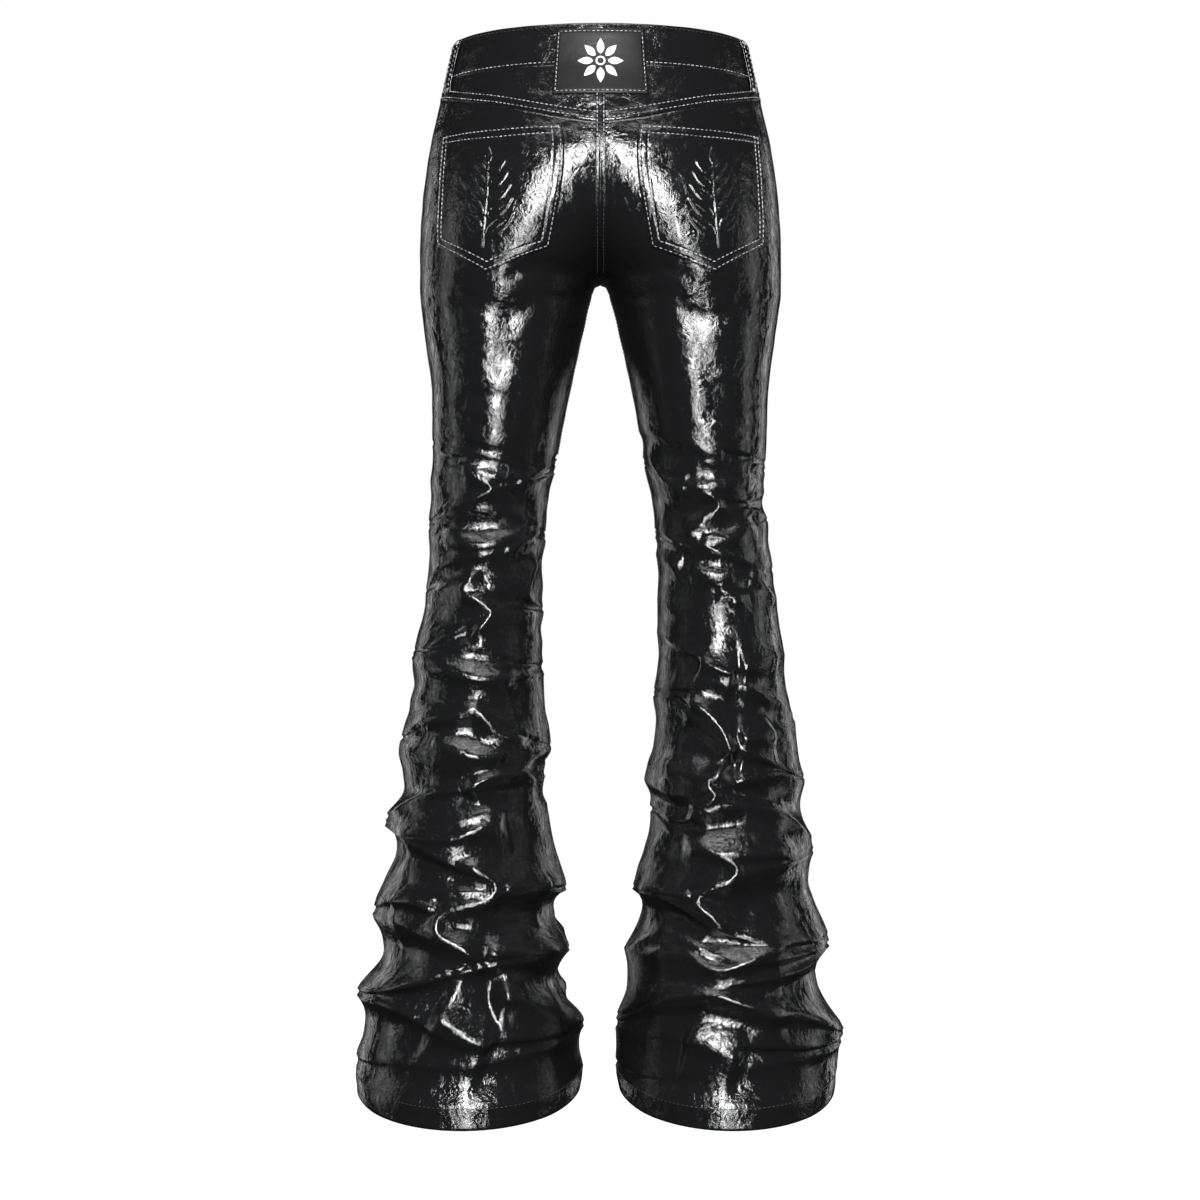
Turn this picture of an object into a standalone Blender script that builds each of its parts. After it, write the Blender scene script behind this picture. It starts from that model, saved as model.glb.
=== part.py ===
"""Stacked, flared five-pocket jeans, filled out as if worn. Metres, +Z up, the front faces -Y.

The origin is the centre of the waist opening, level with the top of the waistband. Everything hangs below.
Every piece of cloth is a wall that follows one surface for each half of the garment. A point on it is given
by an angle round the leg and a place down the leg: 0 degrees is the outseam, 90 the back, 180 the inseam and
270 the front. Above the fork the two halves are cut off at the centre seams, where they meet.
"""

import math

import bpy
import numpy as np

MM = 0.001
LEFT, RIGHT = 1.0, -1.0  # the wearer's left is at +X

# Driving dimensions, in millimetres unless the name says otherwise.
SEAM_GAP = 0.3
CLOTH = 1.6
LAID_GAP = 0.3
POCKET_GAP = 0.5
LAID_CLOTH = 1.3
WAISTBAND_HEIGHT = 40.0
WAISTBAND_CLOTH = 2.4
WAISTBAND_PROUD = 0.5
HEM_HEIGHT = 22.0
HEM_CLOTH = 2.8
HEM_PROUD = 0.6
SEAT_SPLIT_START, FORK = 80.0, 235.0
BACK_SPLIT_POWER, FRONT_SPLIT_POWER = 1.5, 2.6
FACING_BEHIND, SHIELD_BEHIND = 2.6, 3.5  # from the panel's outer face, past its wall and its facets
FOLD_CLEARANCE = 3.0  # least distance between two fold lines
STEEPEST_HOLLOW = 0.36  # greatest hollow between two folds, as a share of their distance
CREST_SHARPNESS = 1.25

# Outline from the front: depth below the waist, then outer and inner edge from the centre line.
HIP_OUTLINE = (
    (0, 147, 0),
    (52, 159, 0),
    (102, 170, 0),
    (152, 177, 0),
    (202, 180, 0),
    (235, 180, 0),
    (237, 180, 3),
    (241, 180, 6),
)
LEFT_OUTLINE = HIP_OUTLINE + (
    (292, 175, 19),
    (352, 168, 32),
    (392, 168, 40),
    (432, 170, 47),
    (480, 172, 54),
    (545, 175, 57),
    (600, 187, 57),
    (660, 194, 53),
    (700, 202, 49),
    (737, 208, 56),
    (772, 215, 48),
    (802, 219, 42),
    (835, 224, 34),
    (870, 229, 33),
    (895, 233, 31),
    (942, 244, 25),
    (972, 245, 16),
    (1010, 244, 17),
    (1057, 241, 24),
)
RIGHT_OUTLINE = HIP_OUTLINE + (
    (292, 174, 20),
    (352, 167, 33),
    (392, 166, 40),
    (450, 164, 48),
    (482, 169, 54),
    (545, 175, 56),
    (602, 184, 56),
    (652, 190, 52),
    (700, 200, 49),
    (732, 204, 43),
    (762, 208, 49),
    (800, 213, 38),
    (832, 216, 33),
    (887, 228, 27),
    (907, 231, 22),
    (945, 238, 20),
    (982, 243, 14),
    (1020, 236, 16),
    (1057, 230, 23),
)
# Outline from the side: depth below the waist, then how far the back and the front reach from the middle.
SIDE_OUTLINE = (
    (0, 98, 108),
    (40, 105, 112),
    (80, 117, 112),
    (130, 130, 108),
    (172, 132, 104),
    (205, 127, 100),
    (235, 118, 97),
    (272, 107, 94),
    (352, 92, 88),
    (432, 78, 82),
    (480, 72, 79),
    (545, 74, 78),
    (600, 80, 80),
    (700, 90, 86),
    (770, 97, 92),
    (870, 106, 104),
    (942, 113, 114),
    (1057, 112, 122),
)

# Lines round the leg that fix its form, from the yoke seam down. The first five columns say how far below the
# waist the line lies at the outseam, outer back, back, inner back and inseam. The next three are the depth of
# the hollow below it, at the outseam, back and inseam, and the last says where that hollow is deepest, as a
# share of the way down to the next line.
FOLD_COLUMNS = 9
SEAT_LINES = (
    (56, 73, 98, 98, 98, 0, 0, 0, 0.5),
    (228, 232, 235, 235, 235, 0, 0, 0, 0.5),
)
LEFT_FOLDS = SEAT_LINES + (
    (240, 250, 250, 255, 245, 0, 4, 2, 0.40),
    (246, 268, 278, 266, 252, 0, 0, 0, 0.50),
    (392, 392, 404, 420, 406, 1, 3, 2, 0.50),
    (398, 408, 412, 424, 412, 1, 7, 1, 0.40),
    (430, 425, 434, 431, 420, 1, 4, 1, 0.50),
    (472, 463, 446, 437, 426, 1, 6, 2, 0.40),
    (477, 469, 464, 473, 482, 1, 9, 1, 0.45),
    (482, 494, 500, 491, 487, 2, 3, 1, 0.50),
    (540, 517, 509, 499, 493, 1, 8, 2, 0.40),
    (545, 542, 538, 548, 558, 2, 8, 1, 0.50),
    (600, 596, 570, 563, 564, 1, 8, 2, 0.45),
    (605, 602, 598, 610, 614, 1, 8, 2, 0.40),
    (610, 620, 628, 628, 626, 5, 8, 2, 0.30),
    (687, 670, 657, 681, 694, 2, 10, 1, 0.40),
    (693, 697, 700, 701, 700, 12, 8, 9, 0.65),
    (765, 745, 734, 727, 728, 2, 8, 3, 0.45),
    (772, 777, 765, 751, 755, 1, 12, 3, 0.35),
    (778, 785, 812, 829, 837, 15, 8, 1, 0.28),
    (857, 841, 833, 834, 842, 2, 13, 14, 0.32),
    (866, 864, 886, 894, 897, 18, 8, 1, 0.50),
    (940, 930, 908, 899, 902, 2, 14, 16, 0.40),
    (947, 946, 972, 975, 972, 10, 7, 1, 0.40),
    (1006, 1000, 997, 986, 978, 1, 4, 5, 0.40),
)
RIGHT_FOLDS = SEAT_LINES + (
    (241, 250, 251, 255, 244, 0, 4, 2, 0.40),
    (248, 262, 275, 267, 252, 0, 0, 0, 0.50),
    (412, 410, 402, 394, 384, 1, 6, 2, 0.40),
    (420, 418, 420, 429, 410, 1, 7, 1, 0.40),
    (426, 436, 443, 434, 415, 1, 3, 1, 0.50),
    (444, 454, 450, 438, 420, 3, 6, 3, 0.50),
    (470, 464, 468, 489, 480, 1, 9, 1, 0.45),
    (474, 484, 499, 493, 484, 2, 3, 1, 0.50),
    (518, 519, 504, 498, 489, 1, 8, 2, 0.45),
    (526, 528, 535, 521, 506, 1, 5, 2, 0.50),
    (550, 546, 552, 562, 552, 1, 3, 1, 0.50),
    (607, 618, 617, 599, 584, 3, 7, 2, 0.40),
    (666, 647, 632, 639, 640, 1, 10, 1, 0.45),
    (674, 685, 675, 646, 644, 3, 6, 1, 0.50),
    (727, 715, 690, 655, 649, 1, 9, 4, 0.40),
    (732, 720, 729, 741, 730, 8, 8, 4, 0.55),
    (788, 760, 750, 767, 757, 1, 12, 2, 0.45),
    (800, 802, 791, 778, 764, 1, 9, 5, 0.40),
    (805, 806, 818, 834, 836, 8, 12, 1, 0.40),
    (884, 885, 874, 842, 841, 1, 9, 11, 0.30),
    (892, 897, 897, 876, 900, 2, 10, 6, 0.40),
    (898, 911, 920, 936, 964, 20, 9, 1, 0.40),
    (980, 957, 937, 945, 970, 1, 10, 2, 0.40),
    (986, 986, 977, 971, 980, 2, 6, 1, 0.40),
    (994, 993, 999, 1012, 1010, 2, 3, 2, 0.40),
)
# The hem's edge below the waist, every 45 degrees from the outseam round by the back.
HEM_EDGE = (1038, 1052, 1057, 1052, 1038, 1034, 1032, 1034)
FRONT_COPIES_BACK = 0.7  # how much of the back's fold layout shows again on the front
FRONT_DRIFT, FRONT_DRIFT_LENGTH = 9.0, 150.0
FRONT_DEPTH_AT_KNEE, FRONT_DEPTH_AT_HEM = 0.35, 0.85
KNEE, SHIN = 480.0, 640.0

POCKET_CORNERS = {  # depth below the waist, distance from the centre line
    "outer_top": (99, 153),
    "inner_top": (101, 37),
    "outer_bottom": (210, 157),
    "inner_bottom": (217, 48),
    "tip": (241, 109),
}
PATCH_TOP, PATCH_BOTTOM, PATCH_HALF_WIDTH = 5.0, 70.0, 44.5
LOOP_TOP, LOOP_BOTTOM, LOOP_WIDTH, LOOP_RISE = 1.0, 54.0, 12.0, 1.9
BACK_LOOP_ANGLE, FRONT_LOOP_ANGLE = 20.0, 308.0
LOOP_RISE_STEEPNESS = 1.6  # how quickly a loop leaves the band at its sewn ends
POCKET_MOUTH_ANGLE, POCKET_MOUTH_DROP = 48.0, 55.0
FACING_BOTTOM, FACING_INNER_ANGLE = 125.0, 300.0
SHIELD_BOTTOM, SHIELD_LEFT, SHIELD_RIGHT = 160.0, 34.0, -12.0
BAND_LAP_END, BAND_UNDER_END, BAND_LAP_RAMP = 20.0, 24.0, 14.0
BAND_LAP_CLEARANCE = 1.0  # degrees past the under end before the lap comes down
BUTTON_RADIUS, BUTTON_HEIGHT, BUTTON_X = 8.5, 4.2, -2.0
BUTTON_PROFILE = (  # share of its radius, share of its height
    (0.0, 0.0),
    (0.72, 0.0),
    (0.94, 0.25),
    (1.0, 0.55),
    (0.9, 0.9),
    (0.66, 1.0),
    (0.56, 0.84),
    (0.0, 0.84),
)

# How finely the walls are faceted: steps across and down each piece.
PANEL_COLUMNS = 10
SEAT_ROWS = 9
FINEST_ROW = 14.0
UNDER_FORK_ROWS = (1.35, 1.7)
SMOOTH_THIGH_LINE, SMOOTH_THIGH_ROWS = 3, 4
HEM_FOLD_ROW = 0.96
YOKE_COLUMNS, YOKE_ROWS = 9, 3
WAIST_COLUMNS = 56
POCKET_COLUMNS, POCKET_ROWS = 6, 10  # columns on each side of the tip
PATCH_COLUMNS, PATCH_ROWS = 8, 5
LOOP_COLUMNS, LOOP_ROWS = 2, 7
FACING_COLUMNS, FACING_ROWS = 9, 4
SHIELD_RIGHT_COLUMNS, SHIELD_LEFT_COLUMNS, SHIELD_ROWS = 2, 5, 10
BUTTON_SIDES = 24


def smooth_through(places, values, at):
    """Cubic curve through (places, values) that never swings past a value, read at the given places."""
    places, values = np.asarray(places, float), np.asarray(values, float)
    steps = np.diff(places)
    slopes = np.diff(values) / steps
    product = slopes[:-1] * slopes[1:]
    total = np.where(product > 0, slopes[:-1] + slopes[1:], 1.0)
    inner = np.where(product > 0, 2 * product / total, 0.0)
    tangents = np.concatenate([slopes[:1], inner, slopes[-1:]])
    at = np.clip(at, places[0], places[-1])
    index = np.clip(np.searchsorted(places, at, side="right") - 1, 0, len(steps) - 1)
    h = steps[index]
    t = (at - places[index]) / h
    return (
        values[index] * (1 + 2 * t) * (1 - t) ** 2
        + tangents[index] * h * t * (1 - t) ** 2
        + values[index + 1] * t * t * (3 - 2 * t)
        + tangents[index + 1] * h * t * t * (t - 1)
    )


def round_the_leg(values, degrees):
    """Rows of evenly spaced values round the leg, read at any angle by a periodic Catmull-Rom cubic."""
    values = np.asarray(values, float)
    count = values.shape[1]
    place = np.asarray(degrees, float) * count / 360.0
    index = np.floor(place).astype(int)
    t = place - index
    before, here, after, beyond = (values[:, (index + k) % count] for k in (-1, 0, 1, 2))
    return here + 0.5 * t * (
        after - before + t * (2 * before - 5 * here + 4 * after - beyond + t * (3 * (here - after) + beyond - before))
    )


class Half:
    """One half of the garment: its surface, and the fold lines that cross it."""

    def __init__(self, side, outline, folds):
        self.side = side
        self.outline = np.array(outline, float).T
        folds = np.array(folds, float).reshape(-1, FOLD_COLUMNS)
        seams = np.mean(folds[:, [0, 4]], axis=1)
        front = [
            seams + FRONT_COPIES_BACK * (folds[:, column] - seams) for column in (3, 2, 1)
        ]
        lines = np.column_stack([folds[:, :5], *front])
        drift = FRONT_DRIFT * np.sin(2 * math.pi * seams / FRONT_DRIFT_LENGTH)
        drift[seams < FORK + HEM_HEIGHT] = 0
        lines[:, 5:] += drift[:, None]
        lines[:2, 5:] = lines[:2, 3:0:-1]
        hem = np.array(HEM_EDGE, float)
        self.lines = np.vstack([lines, hem - HEM_HEIGHT, hem])
        share = smooth_through(
            (0, KNEE, SHIN, hem.max()),
            (FRONT_DEPTH_AT_KNEE, FRONT_DEPTH_AT_KNEE, FRONT_DEPTH_AT_HEM, FRONT_DEPTH_AT_HEM),
            seams,
        )
        depths = np.column_stack([folds[:, 5:8], folds[:, 6] * share])
        self.depths = np.vstack([depths, np.zeros((2, 4))])
        self.lowest = np.append(folds[:, 8], (0.5, 0.5))
        self.last = len(self.lines) - 1

    def body(self, down, degrees):
        """Centre and half-widths of the section at this depth, for the back or the front as the angle says."""
        outer = smooth_through(self.outline[0], self.outline[1], down)
        inner = smooth_through(self.outline[0], self.outline[2], down) + SEAM_GAP / 2
        heights, back, front = np.array(SIDE_OUTLINE, float).T
        at_back = np.mod(degrees, 360.0) <= 180.0
        deep = np.where(
            at_back, smooth_through(heights, back, down), smooth_through(heights, front, down)
        )
        power = np.where(at_back, BACK_SPLIT_POWER, FRONT_SPLIT_POWER)
        split = np.clip((down - SEAT_SPLIT_START) / (FORK - SEAT_SPLIT_START), 0, 1) ** power
        wide = (outer - inner) / (1 + split)
        return inner + split * wide, wide, deep, split

    def point(self, down, degrees, proud=0.0):
        """Point of the smooth form at this depth and angle, moved out along the section's normal."""
        down, degrees = np.broadcast_arrays(np.asarray(down, float), np.asarray(degrees, float))
        centre, wide, deep, _ = self.body(down, degrees)
        cos, sin = np.cos(np.radians(degrees)), np.sin(np.radians(degrees))
        out = np.stack([cos / wide, sin / deep])
        out /= np.linalg.norm(out, axis=0)
        x = centre + wide * cos + proud * out[0]
        y = deep * sin + proud * out[1]
        return np.stack([self.side * x, y, -down], axis=-1) * MM

    def angle_at(self, down, x, front=False):
        """The angle at which the section passes this distance from the centre line."""
        side_of_leg = 270.0 if front else 90.0
        centre, wide, _, _ = self.body(np.asarray(down, float), side_of_leg)
        angle = np.degrees(np.arccos(np.clip((x - centre) / wide, -1, 1)))
        return 360.0 - angle if front else angle

    def heights_of_lines(self, degrees):
        """Every fold line's depth below the waist at these angles, kept in order and a little apart."""
        found = round_the_leg(self.lines, degrees)
        room = FOLD_CLEARANCE * np.arange(len(found)).reshape(-1, *[1] * (found.ndim - 1))
        return np.maximum.accumulate(found - room, axis=0) + room

    def fold_point(self, row, degrees, proud=0.0):
        """Point of the folded form. The row counts fold lines, so 3.5 is half way from line 3 to line 4."""
        row, degrees = np.broadcast_arrays(np.asarray(row, float), np.asarray(degrees, float))
        lines = self.heights_of_lines(degrees)
        first = np.clip(np.floor(row).astype(int), 0, self.last - 1)
        t = row - first
        above = np.take_along_axis(lines, first[None], axis=0)[0]
        below = np.take_along_axis(lines, first[None] + 1, axis=0)[0]
        depths = np.maximum(round_the_leg(self.depths, degrees), 0)
        depth = np.take_along_axis(depths, first[None], axis=0)[0]
        depth = np.minimum(depth, STEEPEST_HOLLOW * (below - above))
        bend = math.log(0.5) / np.log(self.lowest[first])
        hollow = np.abs(np.sin(math.pi * np.clip(t, 0, 1) ** bend)) ** CREST_SHARPNESS
        return self.point(above + t * (below - above), degrees, proud - depth * hollow)

    def fold_normal(self, row, degrees):
        """Outward normal of the folded form, from its two tangents."""
        low, high = np.clip(row - 0.02, 0, self.last), np.clip(row + 0.02, 0, self.last)
        along = self.fold_point(high, degrees) - self.fold_point(low, degrees)
        around = self.fold_point(row, degrees + 0.5) - self.fold_point(row, degrees - 0.5)
        normal = np.cross(along, around) * self.side
        return normal / np.linalg.norm(normal, axis=-1, keepdims=True)

    def normal(self, down, degrees):
        """Outward normal of the smooth form."""
        along = self.point(down + 0.5, degrees) - self.point(down - 0.5, degrees)
        around = self.point(down, degrees + 0.5) - self.point(down, degrees - 0.5)
        normal = np.cross(along, around) * self.side
        return normal / np.linalg.norm(normal, axis=-1, keepdims=True)

    def centre_angle(self, down, front=False):
        """Angle of the centre seam or, below the fork, of the inseam, with half a seam gap left."""
        _, wide, _, split = self.body(np.asarray(down, float), 270.0 if front else 90.0)
        to_inseam = 180.0 - np.degrees(SEAM_GAP / 2 / wide)
        angle = np.minimum(np.degrees(np.arccos(-split)), to_inseam)
        return 360.0 - angle if front else angle

    def outseam_angle(self, front=False):
        angle = math.degrees(SEAM_GAP / 2 / SIDE_OUTLINE[0][1])
        return 360.0 - angle if front else angle


def material(name, colour, roughness, metallic=0.0):
    made = bpy.data.materials.new(name)
    made.use_nodes = True
    shader = made.node_tree.nodes["Principled BSDF"]
    shader.inputs["Base Color"].default_value = (*colour, 1.0)
    shader.inputs["Roughness"].default_value = roughness
    shader.inputs["Metallic"].default_value = metallic
    made.diffuse_color = (*colour, 1.0)
    return made


def add_object(name, points, faces, finish):
    mesh = bpy.data.meshes.new(name)
    mesh.from_pydata(points.tolist(), [], faces)
    mesh.validate()
    mesh.materials.append(finish)
    mesh.shade_smooth()
    mesh.set_sharp_from_angle(angle=math.radians(40))
    made = bpy.data.objects.new(name, mesh)
    bpy.context.scene.collection.objects.link(made)
    return made


def add_wall(name, outer, inner, finish):
    """Closed wall between two grids of points, rows by columns. It is turned so that its faces point out."""
    rows, columns = outer.shape[:2]
    points = np.concatenate([outer.reshape(-1, 3), inner.reshape(-1, 3)])
    grid = np.arange(rows * columns).reshape(rows, columns)
    back = grid + rows * columns
    quads = [
        np.stack([grid[:-1, :-1], grid[1:, :-1], grid[1:, 1:], grid[:-1, 1:]], -1).reshape(-1, 4),
        np.stack([back[:-1, :-1], back[:-1, 1:], back[1:, 1:], back[1:, :-1]], -1).reshape(-1, 4),
    ]
    rim = np.concatenate([grid[0, :-1], grid[:-1, -1], grid[-1, :0:-1], grid[:0:-1, 0]])
    after = np.roll(rim, -1)
    under = rows * columns
    quads.append(np.stack([rim, after, after + under, rim + under], -1))
    faces = np.concatenate(quads)
    corners = points[faces[: (rows - 1) * (columns - 1)]]
    middle = outer[rows // 2, columns // 2] - inner[rows // 2, columns // 2]
    facing = np.cross(corners[:, 1] - corners[:, 0], corners[:, 3] - corners[:, 0]).reshape(
        rows - 1, columns - 1, 3
    )[min(rows // 2, rows - 2), min(columns // 2, columns - 2)]
    if facing @ middle < 0:
        faces = faces[:, ::-1]
    return add_object(name, points, faces.tolist(), finish)


def leg_rows(half):
    """Rows down a leg panel: closer towards the fork, then on each fold line and between lines far apart."""
    rows = [math.sin(0.5 * math.pi * k / SEAT_ROWS) for k in range(SEAT_ROWS)]
    heights = half.heights_of_lines(np.arange(0, 360, 30.0))
    for line in range(1, half.last):
        rows.append(float(line))
        room = np.mean(heights[line + 1] - heights[line])
        low = half.lowest[line]
        if line == 1:
            rows += UNDER_FORK_ROWS
        elif line == half.last - 2:
            rows.append(line + HEM_FOLD_ROW)
        elif line == SMOOTH_THIGH_LINE:
            rows += [line + k / SMOOTH_THIGH_ROWS for k in range(1, SMOOTH_THIGH_ROWS)]
        elif room > 3 * FINEST_ROW:
            rows += [line + 0.6 * low, line + 0.4 + 0.6 * low]
        elif room > FINEST_ROW:
            rows.append(line + low)
    rows.append(float(half.last))
    return np.array(rows)


def across(start, end, count=PANEL_COLUMNS):
    """Angles from one edge of a panel to the other, one row for each pair of edges."""
    start, end = np.broadcast_arrays(np.asarray(start, float), np.asarray(end, float))
    return start[:, None] + (end - start)[:, None] * np.linspace(0, 1, count + 1)


def leg_panel(name, half, front, finish):
    """Front or back of one leg, from the yoke or waistband to the hem, thicker at the turned hem."""
    rows = leg_rows(half)
    seam = np.full(rows.shape, half.centre_angle(FORK, front))
    for _ in range(30):
        seam = 0.5 * (seam + half.centre_angle(-half.fold_point(rows, seam)[:, 2] / MM, front))
    angles = across(half.outseam_angle(front), seam)
    grid_rows = np.repeat(rows[:, None], angles.shape[1], axis=1)
    hem = rows >= half.last - 1
    outer = half.fold_point(grid_rows, angles)
    normals = half.fold_normal(grid_rows, angles)
    if front:
        seat = rows < 1
        share = rows[seat][:, None]
        fork_line = half.heights_of_lines(angles[seat])[1]
        down = front_top(angles[0]) * (1 - share) + fork_line * share
        centre = half.centre_angle(down[:, -1], True)
        bent = across(np.full(centre.shape, half.outseam_angle(True)), centre)
        outer[seat] = half.point(down, bent)
        normals[seat] = half.normal(down, bent)
    outer[hem] += normals[hem] * HEM_PROUD * MM
    thick = np.where(hem, HEM_CLOTH, CLOTH)[:, None, None]
    return add_wall(name, outer, outer - normals * thick * MM, finish)


def front_top(degrees):
    """Top edge of a front leg: under the waistband, then down the scooped pocket mouth to the outseam."""
    from_outseam = np.clip((360.0 - degrees) / POCKET_MOUTH_ANGLE, 0, 1)
    return WAISTBAND_HEIGHT + SEAM_GAP + POCKET_MOUTH_DROP * np.cos(0.5 * math.pi * from_outseam)


def yoke(name, half, finish):
    """Piece between the waistband and the curved seam over a back leg."""
    steps = np.linspace(0, 1, YOKE_ROWS + 1)
    top = WAISTBAND_HEIGHT + SEAM_GAP
    at_centre = half.centre_angle(top + (half.lines[0, 2] - top) * steps)
    angles = across(np.full(steps.shape, half.outseam_angle()), at_centre, YOKE_COLUMNS)
    seam = half.heights_of_lines(angles)[0] - SEAM_GAP
    down = top + (seam - top) * steps[:, None]
    outer = half.point(down, angles)
    return add_wall(name, outer, outer - half.normal(down, angles) * CLOTH * MM, finish)


def waist_point(left, right, down, degrees, proud):
    """Point of the whole waist, 0 degrees at the wearer's left and 90 at the centre back."""
    turned = np.mod(degrees, 360.0)
    at_left = (turned <= 90.0) | (turned >= 270.0)
    mirrored = np.mod(180.0 - turned, 360.0)
    return np.where(
        at_left[..., None], left.point(down, turned, proud), right.point(down, mirrored, proud)
    )


def waistband(left, right, finish):
    """Strip round the waist whose left end laps outside its right end at the centre front."""
    front = SIDE_OUTLINE[0][2]
    wide = HIP_OUTLINE[0][1]
    start = 270.0 - math.degrees(BAND_LAP_END / wide)
    end = 630.0 + math.degrees(BAND_UNDER_END / wide)
    ramp = math.degrees(BAND_LAP_RAMP / front)
    degrees = np.linspace(start, end, WAIST_COLUMNS + 1)
    lap_from = 270.0 + math.degrees(BAND_UNDER_END / wide) + BAND_LAP_CLEARANCE
    lift = np.clip((lap_from + ramp - degrees) / ramp, 0, 1)
    lift = (WAISTBAND_CLOTH + SEAM_GAP) * lift * lift * (3 - 2 * lift)
    down = np.array([0.0, 0.5, 1.0])[:, None] * WAISTBAND_HEIGHT
    grid = np.broadcast_to(degrees, (3, len(degrees)))
    outer = waist_point(left, right, down, grid, WAISTBAND_PROUD + lift)
    inner = waist_point(left, right, down, grid, WAISTBAND_PROUD + lift - WAISTBAND_CLOTH)
    return add_wall("waistband", outer, inner, finish)


def back_pocket(name, half, finish):
    """Five-sided patch pocket. Its grid runs between its corners and its points are the panel's, moved out."""
    corners = {
        key: np.array([down, float(half.angle_at(down, x))])
        for key, (down, x) in POCKET_CORNERS.items()
    }
    tip_share = (corners["tip"][1] - corners["outer_bottom"][1]) / (
        corners["inner_bottom"][1] - corners["outer_bottom"][1]
    )
    columns = np.concatenate(
        [
            np.linspace(0, tip_share, POCKET_COLUMNS + 1),
            np.linspace(tip_share, 1, POCKET_COLUMNS + 1)[1:],
        ]
    )
    top = corners["outer_top"] + columns[:, None] * (corners["inner_top"] - corners["outer_top"])
    bottom = corners["outer_bottom"] + columns[:, None] * (
        corners["inner_bottom"] - corners["outer_bottom"]
    )
    bottom[:, 0] = np.interp(
        columns,
        (0, tip_share, 1),
        (corners["outer_bottom"][0], corners["tip"][0], corners["inner_bottom"][0]),
    )
    share = np.linspace(0, 1, POCKET_ROWS + 1)[:, None, None]
    grid = top + (bottom - top) * share
    under = half.point(grid[..., 0], grid[..., 1])
    out = half.normal(grid[..., 0], grid[..., 1]) * MM
    return add_wall(name, under + out * (POCKET_GAP + LAID_CLOTH), under + out * POCKET_GAP, finish)


def waist_patch(left, right, finish):
    """Patch over the waistband and the yokes at the centre back."""
    x = np.linspace(-1, 1, PATCH_COLUMNS + 1) * PATCH_HALF_WIDTH
    degrees = 90.0 - np.degrees(np.arcsin(x / HIP_OUTLINE[1][1]))
    down = np.linspace(PATCH_TOP, PATCH_BOTTOM, PATCH_ROWS + 1)[:, None]
    near = WAISTBAND_PROUD + LAID_GAP
    grid = np.broadcast_to(degrees, (len(down), len(x)))
    outer = waist_point(left, right, down, grid, near + LAID_CLOTH)
    return add_wall("waist_patch", outer, waist_point(left, right, down, grid, near), finish)


def belt_loop(name, half, degrees, finish):
    """Strip sewn down at both ends, standing off the waistband between them."""
    steps = np.linspace(0, 1, LOOP_ROWS + 1)
    down = (LOOP_TOP + (LOOP_BOTTOM - LOOP_TOP) * steps)[:, None]
    _, wide, deep, _ = half.body(down[:1], degrees)
    turn = math.radians(degrees)
    around = math.hypot(float(wide[0, 0]) * math.sin(turn), float(deep[0, 0]) * math.cos(turn))
    reach = math.degrees(0.5 * LOOP_WIDTH / around)
    angles = np.broadcast_to(
        degrees + np.linspace(-reach, reach, LOOP_COLUMNS + 1), (len(steps), LOOP_COLUMNS + 1)
    )
    rise = LOOP_RISE * np.clip(np.sin(math.pi * steps) * LOOP_RISE_STEEPNESS, 0, 1)[:, None]
    near = WAISTBAND_PROUD + LAID_GAP + rise
    outer = half.point(down, angles, near + CLOTH)
    return add_wall(name, outer, half.point(down, angles, near), finish)


def pocket_facing(name, half, finish):
    """Cloth behind a front pocket mouth, sewn into the waistband and the outseam."""
    down = np.linspace(WAISTBAND_HEIGHT + SEAM_GAP, FACING_BOTTOM, FACING_ROWS + 1)
    start = np.full(down.shape, half.outseam_angle(True))
    angles = across(start, FACING_INNER_ANGLE, FACING_COLUMNS)
    down = np.broadcast_to(down[:, None], angles.shape)
    under = half.point(down, angles)
    out = half.normal(down, angles) * MM
    inner = under - out * (FACING_BEHIND + LAID_CLOTH)
    return add_wall(name, under - out * FACING_BEHIND, inner, finish)


def fly_shield(left, right, finish):
    """Strip behind the centre front, from the waistband to the end of the opening."""
    x = np.concatenate(
        [
            np.linspace(SHIELD_RIGHT, 0, SHIELD_RIGHT_COLUMNS + 1),
            np.linspace(0, SHIELD_LEFT, SHIELD_LEFT_COLUMNS + 1)[1:],
        ]
    )
    down = np.linspace(WAISTBAND_HEIGHT + SEAM_GAP, SHIELD_BOTTOM, SHIELD_ROWS + 1)[:, None]
    panel = np.where(
        (x >= 0)[None, :, None],
        left.point(down, left.angle_at(down, np.abs(x), True)),
        right.point(down, right.angle_at(down, np.abs(x), True)),
    )
    near = panel + np.array([0, SHIELD_BEHIND, 0]) * MM
    return add_wall("fly_shield", near, near + np.array([0, LAID_CLOTH, 0]) * MM, finish)


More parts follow.
